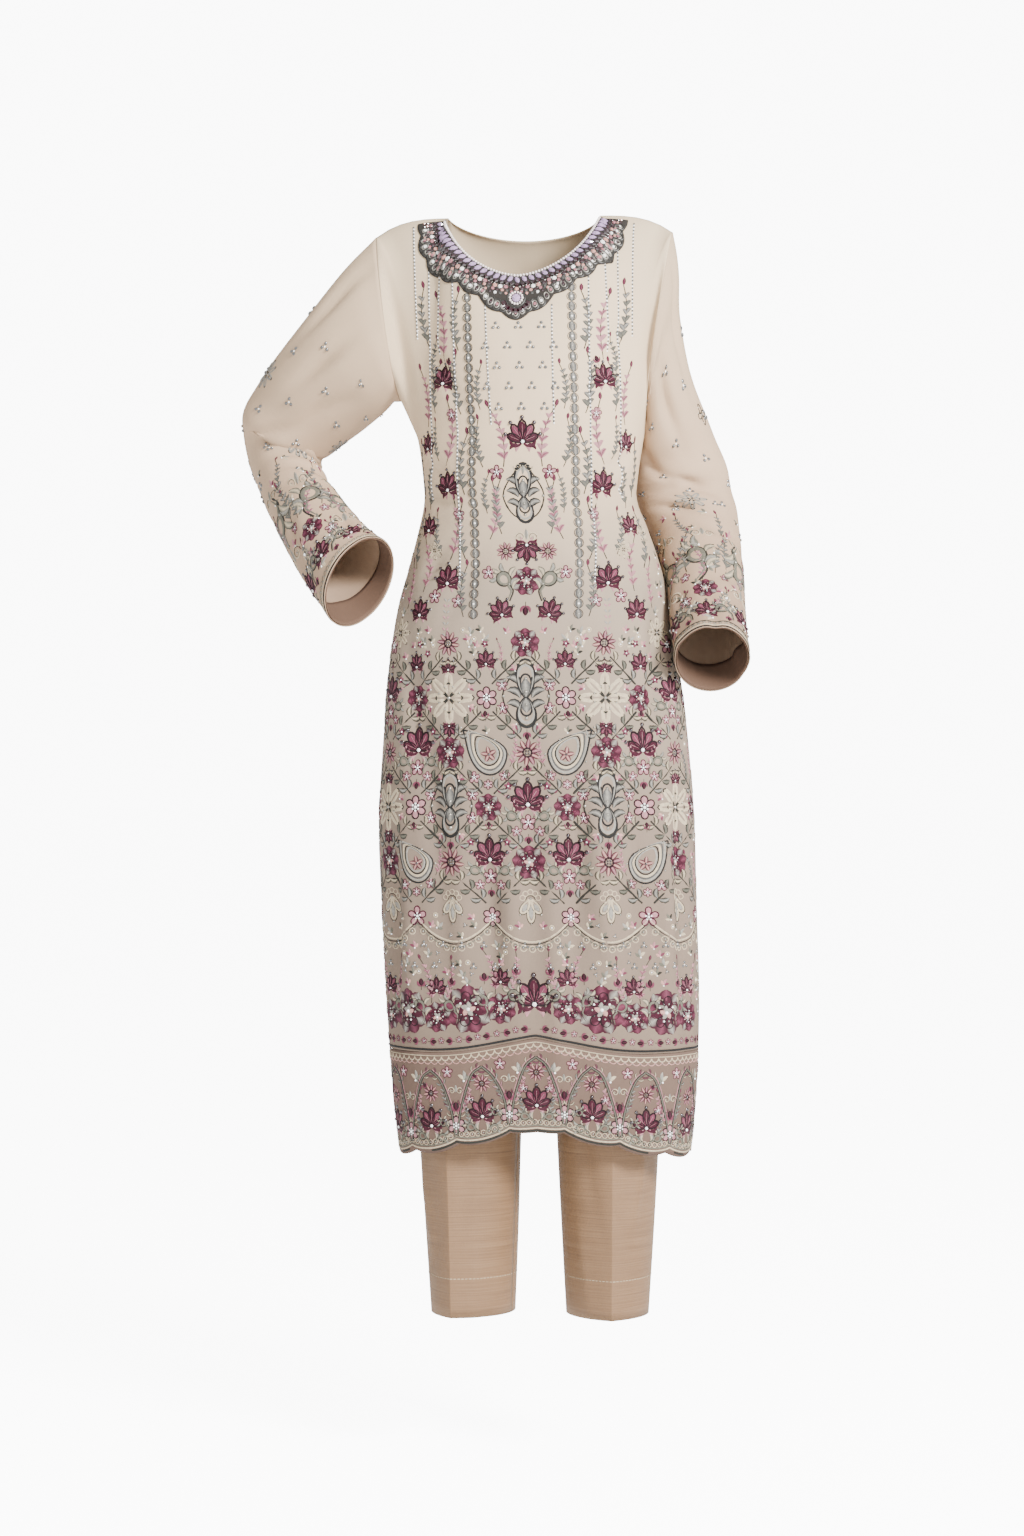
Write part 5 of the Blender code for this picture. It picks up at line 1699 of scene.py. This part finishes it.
CELLS = {
    # each cell's own small composition, from its middle: across, up, scale, turn
    "bouquet": """
        palmette 0 10 1.35
        spray 5 -14 .66 -40
        acanthus 15 -10 .66 -24
        rosette 0 -17 1; 13 -27 .66
        bud 0 -36 .9 180; 0 43 .9
        small_rosette 22 24 1.1
        """,
    "medallion": """
        jewel 0 0 1.65
        rosette 27 14 .75; 27 -12 .75
        bud 0 -42 .9 180
        sprig 14 34 1 -30; 14 -34 1 -150
        """,
    "knotwork": """
        knot 0 0 1.75
        palmette 0 35 .62; 0 -35 .62 180
        sprig 28 12 1 -60; 28 -12 1 -120
        """,
    "paisley_cell": """
        paisley 0 4 1.55 -10
        rosette -19 -26 .7; 16 -28 .75
        plum_rosette 0 -36 .62
        spray -25 -16 .62 8
        bud 2 42 .9
        """,
}
for name, text in CELLS.items():
    MOTIFS[name] = worked_layout(layout(text), mirrored=name != "paisley_cell")

TRELLIS_CROSSINGS = layout(
    """
    bloom 0 -500 .95; 135 -562 .9 20; 90 -624 1.05; 45 -686 .9; 218 -686 .8; 0 -748 1.1; 180 -748 1
    daisy 90 -500 1.2; 0 -624 1.3; 180 -624 1.15; 90 -748 1.35
    rosette 180 -500 1.2; 220 -810 1.1; 135 -810 1.25
    plum_rosette 45 -562 1.35; 135 -686 1.45; 218 -562 1.1; 45 -810 1.2
    """
)
TRELLIS_CELLS = layout(
    """
    medallion 0 -562; 90 -686
    knotwork 90 -562; 180 -686 .95
    bouquet 180 -562 .9; 135 -624; 0 -686; 45 -748 .95
    paisley_cell 45 -624; 135 -748 .95
    palmette 45 -520 .8; 135 -522 .8
    """
)
TRELLIS_SPRAYS = layout(
    """
    spray 222 -654 .8; 224 -780 .8; 28 -524 .45 -8
    silver_spray 206 -660 .8 20; 210 -782 .8 20
    """
)


# %% The rows above the border
def seam_level(across):
    """The level of the border seam in millimetres, at a distance across in millimetres."""
    return float(dip(BORDER_SEAM, across * MM)) / MM


# places are above the border seam: across, up, scale, turn
LOWER_FLOWERS = [("palmette", 0, 46, 1.55), ("bloom", 76, 46, 1.6), ("bloom", 152, 46, 1.5)]
LOWER_CLUSTER = [("bloom", 0, 40, 1, 30), ("palmette", 0, 74, 0.8)]
LOWER_CLUSTER += [("spray", 7, 56, 0.85, -14), ("spray", -7, 56, 0.85, 14)]


def lower_rows():
    """Pendants under the trellis, then the row of large roses, and a row of buds along the seam."""
    rows = layout("pendant 0 -792 1.15; 90 -792 1.15; 180 -792 1.15")
    for flower in LOWER_FLOWERS:
        rows += moved([flower], 0, seam_level(flower[1]))
    for across in (38, 114, 190):
        rows += moved(LOWER_CLUSTER, across, seam_level(across))
    for i, across in enumerate((19, 57, 95, 133, 171)):
        turn = 10 if i % 2 else -10
        rows += moved([("acanthus", 0, 50, 0.80, turn), ("bud", 0, 78)], across, seam_level(across))
    for i in range(10):
        across = 11 + 22 * i
        rows.append(("bud", across, seam_level(across) + 12, 0.85, 90 if i % 2 else -90))
        rows.append(("rosette", across + 11, seam_level(across + 11) + 13, 0.42))
        if i < 8:
            rows += [("three_beads", 24 * i + 8, -842, 1.6), ("three_beads", 24 * i + 20, -866, 1.6)]
    return rows


SWAG = SimpleNamespace(level=-812, drop=26, pitch=90, rings=8, ring=3.6, bead=2.8)
SWAG_CORDS = ((0, "ivory", 2.0), (2.8, "moss", 1.3), (6.4, "celadon", 1.3))


def swags(work):
    """Ivory cords that hang in arcs from crossing to crossing."""

    def hung(i, part, shift):
        across = (i + part / 2) * SWAG.pitch
        return np.stack([across, SWAG.level - shift - SWAG.drop * (1 - part**2)], axis=-1)

    for i in range(-2, 3):
        for shift, colour, width in SWAG_CORDS:
            work.cord(hung(i, np.linspace(-1, 1, 21), shift), colour, width, 0.6)
        for spot in hung(i, np.linspace(-0.85, 0.85, 9), SWAG.rings):
            work.ring(spot, SWAG.ring, "ivory", 1.2, count=9)
            work.bead(spot, SWAG.bead, "silver")


# %% The front's three works
SEAM_CORD = SimpleNamespace(half=226, lift=3.0, width=2.4, height=1.1, points=220)
FRONT_GAPS = (
    # across, low, high, step, clearance, motifs
    (226, -800, -500, 9.5, 4.5, ("sprig", "silver_sprig", "eyelet", "green_sprig", "small_rosette")),
    (228, -930, -800, 10.5, 5.0, ("three_beads", "silver_sprig", "sprig", "eyelet", "green_sprig")),
    (180, -500, -395, 11.0, 6.0, ("silver_sprig", "eyelet", "sprig", "green_sprig")),
    (150, -395, -240, 15.0, 8.0, ("silver_sprig", "three_beads", "green_sprig")),
    (140, -240, -100, 22.0, 10.0, ("three_beads", "silver_sprig", "three_beads")),
)
FIRST_SEED = 7

skirt_rows = TRELLIS_CROSSINGS + TRELLIS_CELLS + lower_rows()
leaves, flowers = leaves_and_flowers(FRONT_COLUMNS + butis(CHEST_BUTIS) + TRELLIS_SPRAYS + skirt_rows)
trellis(leaves)
swags(leaves)
chain_lines(leaves)
beaded_lines(leaves)
seam_run = np.linspace(-SEAM_CORD.half, SEAM_CORD.half, SEAM_CORD.points)
seam_line = [(across, seam_level(across) + SEAM_CORD.lift) for across in seam_run]
leaves.long_cord(seam_line, "steel", SEAM_CORD.width, SEAM_CORD.height)
fills = Motif(*(fillings([leaves, flowers], *gap, FIRST_SEED + i) for i, gap in enumerate(FRONT_GAPS)))
for name, work in (("leaves", leaves), ("flowers", flowers), ("fillings", fills)):
    embroider(f"embroidery_front_{name}", work, "kameez_front_cloth")
sew_beads("beads_front", Motif(leaves, flowers, fills), "kameez_front_cloth")

# %% [markdown]
# ## The jewelled neck trim
# The trim is made apart, on a dark net cut as a flat crescent, and sewn on round the neckline. From the
# inside out it has a line of pearls, a row of pale pointed stones, a row of dark square ones in metal
# settings, two rows of small round ones, and an edge of wire loops that ends in a pendant.
# %% The net under the stones
TRIM = SimpleNamespace(edge=0.0004, width=0.0391, pendant=0.019, pendant_reach=0.2, end_width=0.85, taper=0.3)
TRIM_START, TRIM_LOBES, TRIM_LOBE_DEPTH = 0.06, 13, 0.0045
TRIM_GRID = SimpleNamespace(columns=156, rows=12, lift=0.0012)
NECK_STEP = 0.01
SIGHT, RISE = np.array([0, 1, -1]) / math.sqrt(2), np.array([0, 1, 1]) / math.sqrt(2)


def trim_pendant(share):
    return TRIM.pendant * math.exp(-((share / TRIM.pendant_reach) ** 2))


def trim_width(share, lobed=1.0):
    """The trim is widest in the middle, where it ends in a pendant, and its outer edge is in small lobes."""
    ends = TRIM.end_width + (1 - TRIM.end_width) * float(smooth((1 - abs(share)) / TRIM.taper))
    lobe = TRIM_LOBE_DEPTH * abs(math.sin(math.pi * TRIM_LOBES * (share + 1) / 2)) * lobed
    return TRIM.width * ends + trim_pendant(share) + lobe - TRIM_LOBE_DEPTH


def crescent(share, distance):
    """A place on the flat crescent: the neckline seen from above and in front, and a distance out from it."""
    shares = (share - NECK_STEP, share, share + NECK_STEP)
    before, start, after = (np.array(neckline_point(s, FRONT)) for s in shares)
    away = unit(np.array([(after - before) @ RISE, before[0] - after[0]]))
    return np.array([start[0], start @ RISE]) + away * distance, away


def trim_grid():
    """The net's points on the front, found along the line of sight, and its flat cut."""
    front = panel_grids[FRONT]
    surface = BVHTree.FromPolygons(front.reshape(-1, 3).tolist(), grid_quads(*front.shape[:2]).tolist())
    cut = np.zeros((TRIM_GRID.rows + 1, TRIM_GRID.columns + 1, 2))
    grid = np.zeros((TRIM_GRID.rows + 1, TRIM_GRID.columns + 1, 3))
    for c in range(TRIM_GRID.columns + 1):
        share = (1 - TRIM_START) * (2 * c / TRIM_GRID.columns - 1)
        for r in range(TRIM_GRID.rows + 1):
            flat, _ = crescent(share, TRIM.edge + trim_width(share) * r / TRIM_GRID.rows)
            start = np.array([flat[0], 0, 0]) + RISE * flat[1] - SIGHT
            cut[r, c], grid[r, c] = flat, surface.ray_cast(Vector(start), Vector(SIGHT))[0]
    normals = grid_normals(grid)
    return grid - normals * np.sign((normals @ SIGHT).sum()) * TRIM_GRID.lift, cut


make_cloth("neck_trim_cloth", *trim_grid())

# %% Lines and rows of stones that follow the neckline
TRIM_SHARES = np.linspace(-0.93, 0.93, 400)
PLAIN_WIDTH = 38.0


def squeeze(share):
    """How much narrower the trim is here than at its plain width."""
    return min((trim_width(share, 0.5) - trim_pendant(share)) / MM / PLAIN_WIDTH, 1.0)


def trim_line(reach):
    """A line round the neckline: its flat places, the way out at each, and the length run from its middle."""
    spots, away = (np.array(part) for part in zip(*(crescent(share, reach(share)) for share in TRIM_SHARES)))
    run = run_along(spots / MM)
    return spots / MM, away, run - run[-1] / 2


def along_trim(line, pitch, spare=0):
    """Numbers, places, ways out and shares at a pitch along a line, counted from its middle."""
    spots, away, run = line
    last = int(run[-1] / pitch) - spare
    for i in range(-last, last + 1):
        columns = (*spots.T, *away.T, TRIM_SHARES)
        x, y, out_x, out_y, share = (float(np.interp(i * pitch, run, column)) for column in columns)
        yield i, np.array([x, y]), unit(np.array([out_x, out_y])), share


# %% Stones, pearls and wire of the trim
TRIM_ROWS = (
    # kind, distance from the neckline, pitch, size, lean, colours
    ("pearl", 2.4, 3.6, 3.4, 0, ("pearl",)),
    ("marquise", 9.4, 8.2, 10.2, 24, ("lilac",)),
    ("square_stone", 16.4, 6.2, 6.6, 45, ("garnet", "plum")),
    ("bead", 19.8, 3.7, 2.0, 0, ("silver", "crystal")),
    ("round_stone", 22.6, 6.4, 5.6, 0, ("peach", "garnet", "rose_glass", "crystal")),
    ("round_stone", 27.4, 5.6, 4.4, 0, ("garnet", "rose_glass", "gunmetal", "peach")),
    ("round_stone", 31.6, 6.2, 3.8, 0, ("crystal", "garnet", "peach", "gunmetal")),
)
TRIM_WIRES = ((5.0, 1.0), (14.2, 1.8), (19.8, 1.3), (25.0, 1.4), (29.6, 1.2))
LOOP = SimpleNamespace(pitch=8.6, width=8.8, length=13.0, inset=0.9, gap=0.6)
LOOP_WIRES = ((1.0, "gunmetal", 1.7), (0.60, "silver", 1.1))
# how far the pendant lies from the neckline, its stone's size, and how far the rest lies from its middle
PENDANT = SimpleNamespace(level=33.5, stone=10.0, pearls=7.2, ring=10.0, bow=15.4, beads=19.6)


def stone_rows(work):
    """Stones at an even pitch along their lines, each turned to its line, with wires between the rows."""
    for kind, distance, pitch, size, lean, colours in TRIM_ROWS:
        line = trim_line(lambda share: distance * squeeze(share) * MM)
        for i, spot, out, share in along_trim(line, pitch):
            turn = math.degrees(math.atan2(out[1], out[0])) + (lean if i >= 0 else -lean)
            work.bead(spot, size * squeeze(share), colours[abs(i) % len(colours)], kind, turn)
    for distance, width in TRIM_WIRES:
        spots, _, _ = trim_line(lambda share: distance * squeeze(share) * MM)
        work.cord(spots[::4], "gunmetal", width, 0.9)


def wire_loops(work):
    """A cord along the outer edge of the trim, and twin loops of wire on it with a stone in each."""
    line = trim_line(lambda share: TRIM.edge + trim_width(share) - LOOP.inset * MM)
    work.cord(line[0][::2], "moss", 1.7, 1.3)
    turns = np.linspace(0, 2 * np.pi, 14, endpoint=False)[:, None]
    for i, spot, out, _ in along_trim(line, LOOP.pitch, spare=1):
        middle = spot - out * (LOOP.length / 2 + LOOP.gap)
        loop = out[::-1] * (-1, 1) * LOOP.width * np.sin(turns) + out * LOOP.length * np.cos(turns)
        for scale, colour, width in LOOP_WIRES:
            work.cord(middle + loop * scale / 2, colour, width, 1.2, closed=True)
        work.bead(middle, 3.8, ("rose_glass", "crystal", "garnet")[i % 3], "round_stone")


def trim_pendant_stones(work):
    """The pendant: a round stone in a ring of pearls, over a bow of square stones."""
    middle = crescent(0, PENDANT.level * MM)[0] / MM
    work.bead(middle, PENDANT.stone, "lilac", "round_stone")
    for angle in around(14, 0):
        work.bead(polar(angle, PENDANT.pearls, middle), 3.0, "pearl", "pearl")
    work.cord(arc(middle, PENDANT.ring, 0, 345, 24), "gunmetal", 1.8, 1.2, closed=True)
    for angle in range(-153, -26, 21):
        work.bead(polar(angle, PENDANT.bow, middle), 7.4, "garnet", "square_stone", angle)
        work.bead(polar(angle + 10.5, PENDANT.beads, middle), 2.4, "silver")


trim = Motif()
stone_rows(trim)
wire_loops(trim)
trim_pendant_stones(trim)
embroider("neck_trim_wire", trim, "neck_trim_cloth", "wire")
STONES = {"pearl": "pearls", "marquise": "stones", "square_stone": "stones", "round_stone": "stones"}
for kind, finish in (STONES | {"bead": "silver beads"}).items():
    sew_on(f"neck_trim_{kind}s", [row for row in trim.sewn if row[0] == kind], "neck_trim_cloth", finish)

# %% [markdown]
# ## The border's needlework
# The border repeats one bay for each scallop: an arch of cord over a palmette, with flowers between the
# arches, a double row of ivory loops under the seam, and two cords that follow the scallops.
# %% One bay after another
BAY, BAYS, LOOP_STEP = SCALLOP_REPEAT / MM, 4, 9
EDGE = SimpleNamespace(overrun=20, points=330, rings=12.0, ring=2.9, loops=5.5, loop=4.4)
ARCH = SimpleNamespace(half=30, foot=10, crown=21, points=17, leaf=4.6)
HEM_CORDS = ((2.4, "moss", 2.4), (5.2, "ivory", 1.7), (8.2, "celadon", 1.5))
UNDER_SEAM_CORDS = ((1.6, "steel", 2.6), (4.2, "ivory", 1.0))
# places in an arch, between two arches, and under the seam: across, up, scale, turn
IN_ARCH = [("silver_spray", 11, 18, 0.6, -14), ("rosette", 15, 50, 0.62), ("bud", 8, 76, 0.7, -30)]
UNDER_SEAM = [("rosette", 10, -24, 0.75), ("silver_sprig", -10, -27, 1.2)]
BETWEEN_ARCHES = layout(
    """
    plum_rosette 0 20 1.2
    bud 0 40 1.2
    silver_spray 3 32 .66 -20
    spray -3 32 .66 20
    curl 0 60 .6
    acanthus 14 22 .48 -20
    """
)


def hem_level(across):
    """The level of the scalloped hem in millimetres, at a distance across in millimetres."""
    return float(dip(HEM, across * MM) + scallop(across * MM)) / MM


def border_edges(work):
    """Cords along the scallops and the seam, a row of rings inside the one and of loops under the other."""
    edge = np.linspace(-BAYS * BAY - EDGE.overrun, BAYS * BAY + EDGE.overrun, EDGE.points)
    for inset, colour, width in HEM_CORDS:
        work.long_cord([(x, hem_level(x) + inset) for x in edge], colour, width, 0.7)
    for inset, colour, width in UNDER_SEAM_CORDS:
        work.long_cord([(x, seam_level(x) - inset) for x in edge[::3]], colour, width, 0.9)
    for x in edge[3::4]:
        work.ring((x, hem_level(x) + EDGE.rings), EDGE.ring, "ivory", 1.0)
        work.bead((x, hem_level(x) + EDGE.rings), 2.2, "silver")
    for i in range(int((2 * BAYS * BAY + 36) / LOOP_STEP)):
        x = -BAYS * BAY - 18 + LOOP_STEP * i
        level = seam_level(x) - EDGE.loops
        work.cord(arc((x, level), EDGE.loop, 180, 360), "ivory", 1.3, 0.6)
        work.cord(arc((x + LOOP_STEP / 2, level - 3.8), EDGE.loop, 185, 355), "shell", 1.0, 0.5)
        work.bead((x, level - 6.2), 2.0, "silver")


def half_arch(work, x, side):
    """A leafy stem from beside a scallop up to the crown of its arch."""
    foot, crown = hem_level(x + side * ARCH.half) + ARCH.foot, seam_level(x) - ARCH.crown
    points = [(side * ARCH.half, foot), (side * 25, foot + 30), (side * 13, crown - 12), (0, crown)]
    line = smoothed(points, ARCH.points) + (x, 0)
    work.stroke(line, 2.6, "celadon", 0.8, edge="steel")
    work.cord(line + (side * 2.4, 1.2), "blush", 0.9, 0.5)
    left = beside(line)
    ahead = left[:, ::-1] * (1, -1)
    for i in range(2, ARCH.points - 2, 2):
        for turn in (-1, 1):
            root = line[i] + left[i] * turn * 1.2
            tip = root + (left[i] * turn + ahead[i]) * ARCH.leaf
            colour = ("blush", "silver", "ivory", "pink")[i // 2 % 4]
            work.leaf(root, tip, 2.3, colour, 0.2 * turn, 0.45, 5, "moss")


def arches(work):
    """An arch over each scallop, with the flowers that stand in it."""
    for i in range(-BAYS, BAYS + 1):
        x, hem = i * BAY, hem_level(i * BAY)
        for side in (-1, 1):
            half_arch(work, x, side)
            place(work, "acanthus", side * x + 11, hem + 18, 0.56, -30, side)
        place(work, "palmette", x, hem + 36, 1.10)
        place(work, "daisy", x, hem + 68, 0.85)


border_lines = Motif()
border_edges(border_lines)
arches(border_lines)
rows = []
for i in range(BAYS):
    gap = (i + 0.5) * BAY
    rows += moved(BETWEEN_ARCHES, gap, hem_level(gap)) + moved(UNDER_SEAM, gap, seam_level(gap))
    rows += moved(IN_ARCH, i * BAY, hem_level(i * BAY))
border_flowers = worked_layout(rows)
for face_name in FACES.values():
    cloth_name = f"border_{face_name}_cloth"
    embroider(f"embroidery_border_{face_name}_lines", border_lines, cloth_name)
    embroider(f"embroidery_border_{face_name}_flowers", border_flowers, cloth_name)
    sew_beads(f"beads_border_{face_name}", Motif(border_lines, border_flowers), cloth_name)

# %% [markdown]
# ## The sleeves' needlework
# The upper sleeve is almost plain, with a few three-bead fillings and a knot. Scrolls and flowers gather
# towards the cuff, and the last 110 mm is a band as rich as the border, edged with dark cord.
# %% Sleeve layouts, measured from the cuff up
# each line: a motif, then half bays across, millimetres across, up, scale, turn
EVERY_BAY = layout(
    """
    palmette 0 0 33
    rosette 1 0 92 .7
    silver_spray 0 12 26 .8 -16; 0 -14 30 .7 20; 1 -2 100 1.1 6; 0 10 150 .9 -18; 0 -12 96 .9 14
    acanthus 1 4 34 .8 -24
    bud 1 0 18 .8 180
    curl 0 0 156
    three_beads 1 0 218 1.8
    """
)
BY_TURNS = (
    layout("curl 0 0 70 1.2\nacanthus 0 6 118 1.45 -168\nspray 0 4 84 .85 14\neyelet 1 0 54 1.8"),
    layout("bloom 0 0 70 .85\nacanthus 0 6 118 1.45 12\nspray 0 4 84 .85 -12\nrosette 1 0 54 .95"),
)
# share of the way round, up, scale
SLEEVE_KNOTS = ((0.26, 225, 1.1), (0.52, 300, 1.0), (0.80, 235, 1.0), (0.06, 330, 1.0))
# up, across
SLEEVE_SPRIGS = (
    (20, 0), (44, 12), (48, -14), (66, -16), (82, 12), (104, -8), (128, -14), (140, 12), (172, 10), (200, -6),
)
SLEEVE_SPRIG_NAMES = ("silver_sprig", "sprig", "green_sprig")
SLEEVE_BAY, FEWEST_BAYS = 46.0, 5
CUFF_CORDS = ((2.0, "steel", 2.6), (5.0, "ivory", 1.4), (11.0, "steel", 1.6))
CUFF_RINGS = SimpleNamespace(up=8, inset=6, pitch=6.5, ring=2.6, bead=1.8)
SLEEVE_BUTIS = SimpleNamespace(rows=9, columns=5, top=-70, step=-36, shift=-9, low=175)


def upper_sleeve(girth, length):
    """Knots, and three-bead fillings in staggered rows down to the gathered work."""
    rows = [("silver_knot", share * girth, up - length, scale) for share, up, scale in SLEEVE_KNOTS]
    b = SLEEVE_BUTIS
    for r in range(b.rows):
        for c in range(b.columns):
            level = b.top + b.step * r + b.shift * (c % 2)
            if level > b.low - length:
                rows.append(("three_beads", (c + 0.5 * (r % 2)) * girth / b.columns + 10, level, 2.0, 20 * c))
    return rows


def sleeve_band(girth, length):
    """The bays of the cuff, side by side all round."""
    rows = []
    count = max(int(girth / SLEEVE_BAY), FEWEST_BAYS)
    bay = girth / count
    for i in range(count):
        x = (i + 0.5) * bay
        for name, half, across, up, *rest in EVERY_BAY + BY_TURNS[i % 2]:
            rows.append((name, x + half * bay / 2 + across, up - length, *rest))
        for up, across in SLEEVE_SPRIGS:
            rows.append((SLEEVE_SPRIG_NAMES[(i + up) % 3], x + across, up - length, 1.1, 40 * (up % 5) - 80))
    return rows


def sleeve_work(girth, length):
    """girth and length in millimetres. Places run round from the outermost line, down from the armhole."""
    work = worked_layout(upper_sleeve(girth, length) + sleeve_band(girth, length), mirrored=False)
    rim = np.linspace(4, girth - 4, 110)
    for up, colour, width in CUFF_CORDS:
        work.cord(np.stack([rim, np.full(len(rim), up - length)], axis=1), colour, width, 0.8)
    for x in np.arange(CUFF_RINGS.inset, girth - CUFF_RINGS.inset, CUFF_RINGS.pitch):
        work.ring((x, CUFF_RINGS.up - length), CUFF_RINGS.ring, "celadon", 0.9)
        work.bead((x + 3.2, CUFF_RINGS.up - length), CUFF_RINGS.bead, "silver")
    return work


for side_name in SIDES:
    cloth_name = f"sleeve_{side_name}_cloth"
    cut = CUTS[cloth_name]
    work = sleeve_work(cut[-1, -1, 0] / MM, -cut[-1, 0, 1] / MM)
    embroider(f"embroidery_sleeve_{side_name}", work, cloth_name)
    sew_beads(f"beads_sleeve_{side_name}", work, cloth_name)

# %% [markdown]
# ## The back's needlework
# The back of such a kameez is worked more lightly: small fillings on the yoke, a few climbing sprays, and
# the same trellis and lower rows without the sprays at their sides.
# %% The back's rows
BACK_COLUMNS = layout(
    """
    palmette 0 -150 .9; 68 -322 .85; 0 -395 .85; 122 -440 .75
    spray 14 -236 1.1 -8; 70 -300 1.1 5; 70 -412 1.1 -5; 122 -410 .95 -5
    jewel 0 -285 .95
    rosette 70 -430 .95; 0 -440 .95; 118 -322 .85
    silver_spray 120 -300 .9 5
    """
)
YOKE_BUTIS = SimpleNamespace(top=-52, step=-34, pitch=34, rows=13, columns=5, half=150, scale=1.3)

leaves, flowers = leaves_and_flowers(BACK_COLUMNS + butis(YOKE_BUTIS) + skirt_rows)
trellis(leaves)
for name, work in (("leaves", leaves), ("flowers", flowers)):
    embroider(f"embroidery_back_{name}", work, "kameez_back_cloth")
sew_beads("beads_back", Motif(leaves, flowers), "kameez_back_cloth")

# %% [markdown]
# ## The trousers' hem
# The hem is turned up once, 45 mm deep, and held with one row of stitches that shows outside.
# %% A row of stitches round each leg
HEM_TURN = 45.0
STITCH = SimpleNamespace(length=3.0, pitch=4.4, inset=2.0, width=0.9, height=0.4)


def hem_stitches(cut):
    """Stitches along one panel, from seam to seam, at an even height above its hem."""
    work = Motif()
    level = cut[..., 1].min() / MM + HEM_TURN
    row = np.abs(cut[..., 1].mean(axis=1) / MM - level).argmin()
    start, end = np.sort(cut[row, [0, -1], 0]) / MM
    for across in np.arange(start + STITCH.inset, end - STITCH.inset - STITCH.length, STITCH.pitch):
        line = [(across + part * STITCH.length, level) for part in (0, 0.5, 1)]
        work.cord(line, "ivory", STITCH.width, STITCH.height)
    return work


for side_name in SIDES:
    for face_name in FACES.values():
        cloth_name = f"trouser_{face_name}_{side_name}_cloth"
        embroider(f"stitches_{face_name}_{side_name}", hem_stitches(CUTS[cloth_name]), cloth_name)

# %% [markdown]
# ## Thickness, finishes and what each piece stands for
# The work was laid on the outer face of each cloth, so the cloth takes its thickness inwards. Every cloth
# then gets its finish, takes the place of its plain solid, and says how large its cut was before it was
# sewn and worn.
# %% Close the cloths
CLOTH_THICKNESS = 0.0009
CLOTHS = {
    # first word of the name: finish, material slot, how it is held, the cloth it is sewn to
    "kameez": ("kameez", "kameez", "draped", None),
    "border": ("border", "border", "hung", "kameez_{}_cloth"),
    "sleeve": ("sleeve", "sleeve", "draped", "kameez_front_cloth"),
    "cuff": ("facing", "facing", "laid", "sleeve_{}_cloth"),
    "trouser": ("trousers", "trousers", "hung", "trouser_waistband_cloth"),
    "neck": ("net", "trim", "laid", "kameez_front_cloth"),
}


def thickened(cloth, thickness):
    """The cloth as a shell, its thickness laid inwards from the face that was worked."""
    solidify = cloth.modifiers.new("thickness", "SOLIDIFY")
    solidify.thickness, solidify.offset = thickness, -1.0
    shell = bpy.data.meshes.new_from_object(cloth.evaluated_get(bpy.context.evaluated_depsgraph_get()))
    cloth.modifiers.remove(solidify)
    shell.name = cloth.name
    cloth.data = shell


def flat_size(cut):
    """The width, length and area of a flat cut."""
    first, second = cut[1:, 1:] - cut[:-1, :-1], cut[1:, :-1] - cut[:-1, 1:]
    area = np.abs(first[..., 0] * second[..., 1] - first[..., 1] * second[..., 0]).sum() / 2
    width, length = np.ptp(cut[..., 0]), np.ptp(cut[..., 1])
    return float(width), float(length), float(min(area, width * length))


for piece in PIECES.values():
    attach(piece, "root")
for name, cut in CUTS.items():
    cloth, worked_on, words_of_name = PIECES[name], ON_CLOTH.get(name, []), name.split("_")
    finish, slot_name, held, sewn_to = CLOTHS[words_of_name[0]]
    if words_of_name[1] == "waistband":
        held, sewn_to = "gathered", None
    cloth.data.materials.append(FINISH[finish])
    thickened(cloth, CLOTH_THICKNESS)
    node = name.removesuffix("_cloth")
    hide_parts(*dict.fromkeys((node, node.replace("kameez", "yoke"))))
    width, length, area = flat_size(cut)
    print(f"{name}: cut {width:.3f} x {length:.3f} m, {area:.4f} m2, {held}")

# %% [markdown]
# ## The end
# The last cell counts the triangles of every piece, and of the largest one.
# %% Count the triangles and finish
triangles = [sum(len(face.vertices) - 2 for face in piece.data.polygons) for piece in PIECES.values()]
print("triangles in all:", sum(triangles), "- in the largest piece:", max(triangles))
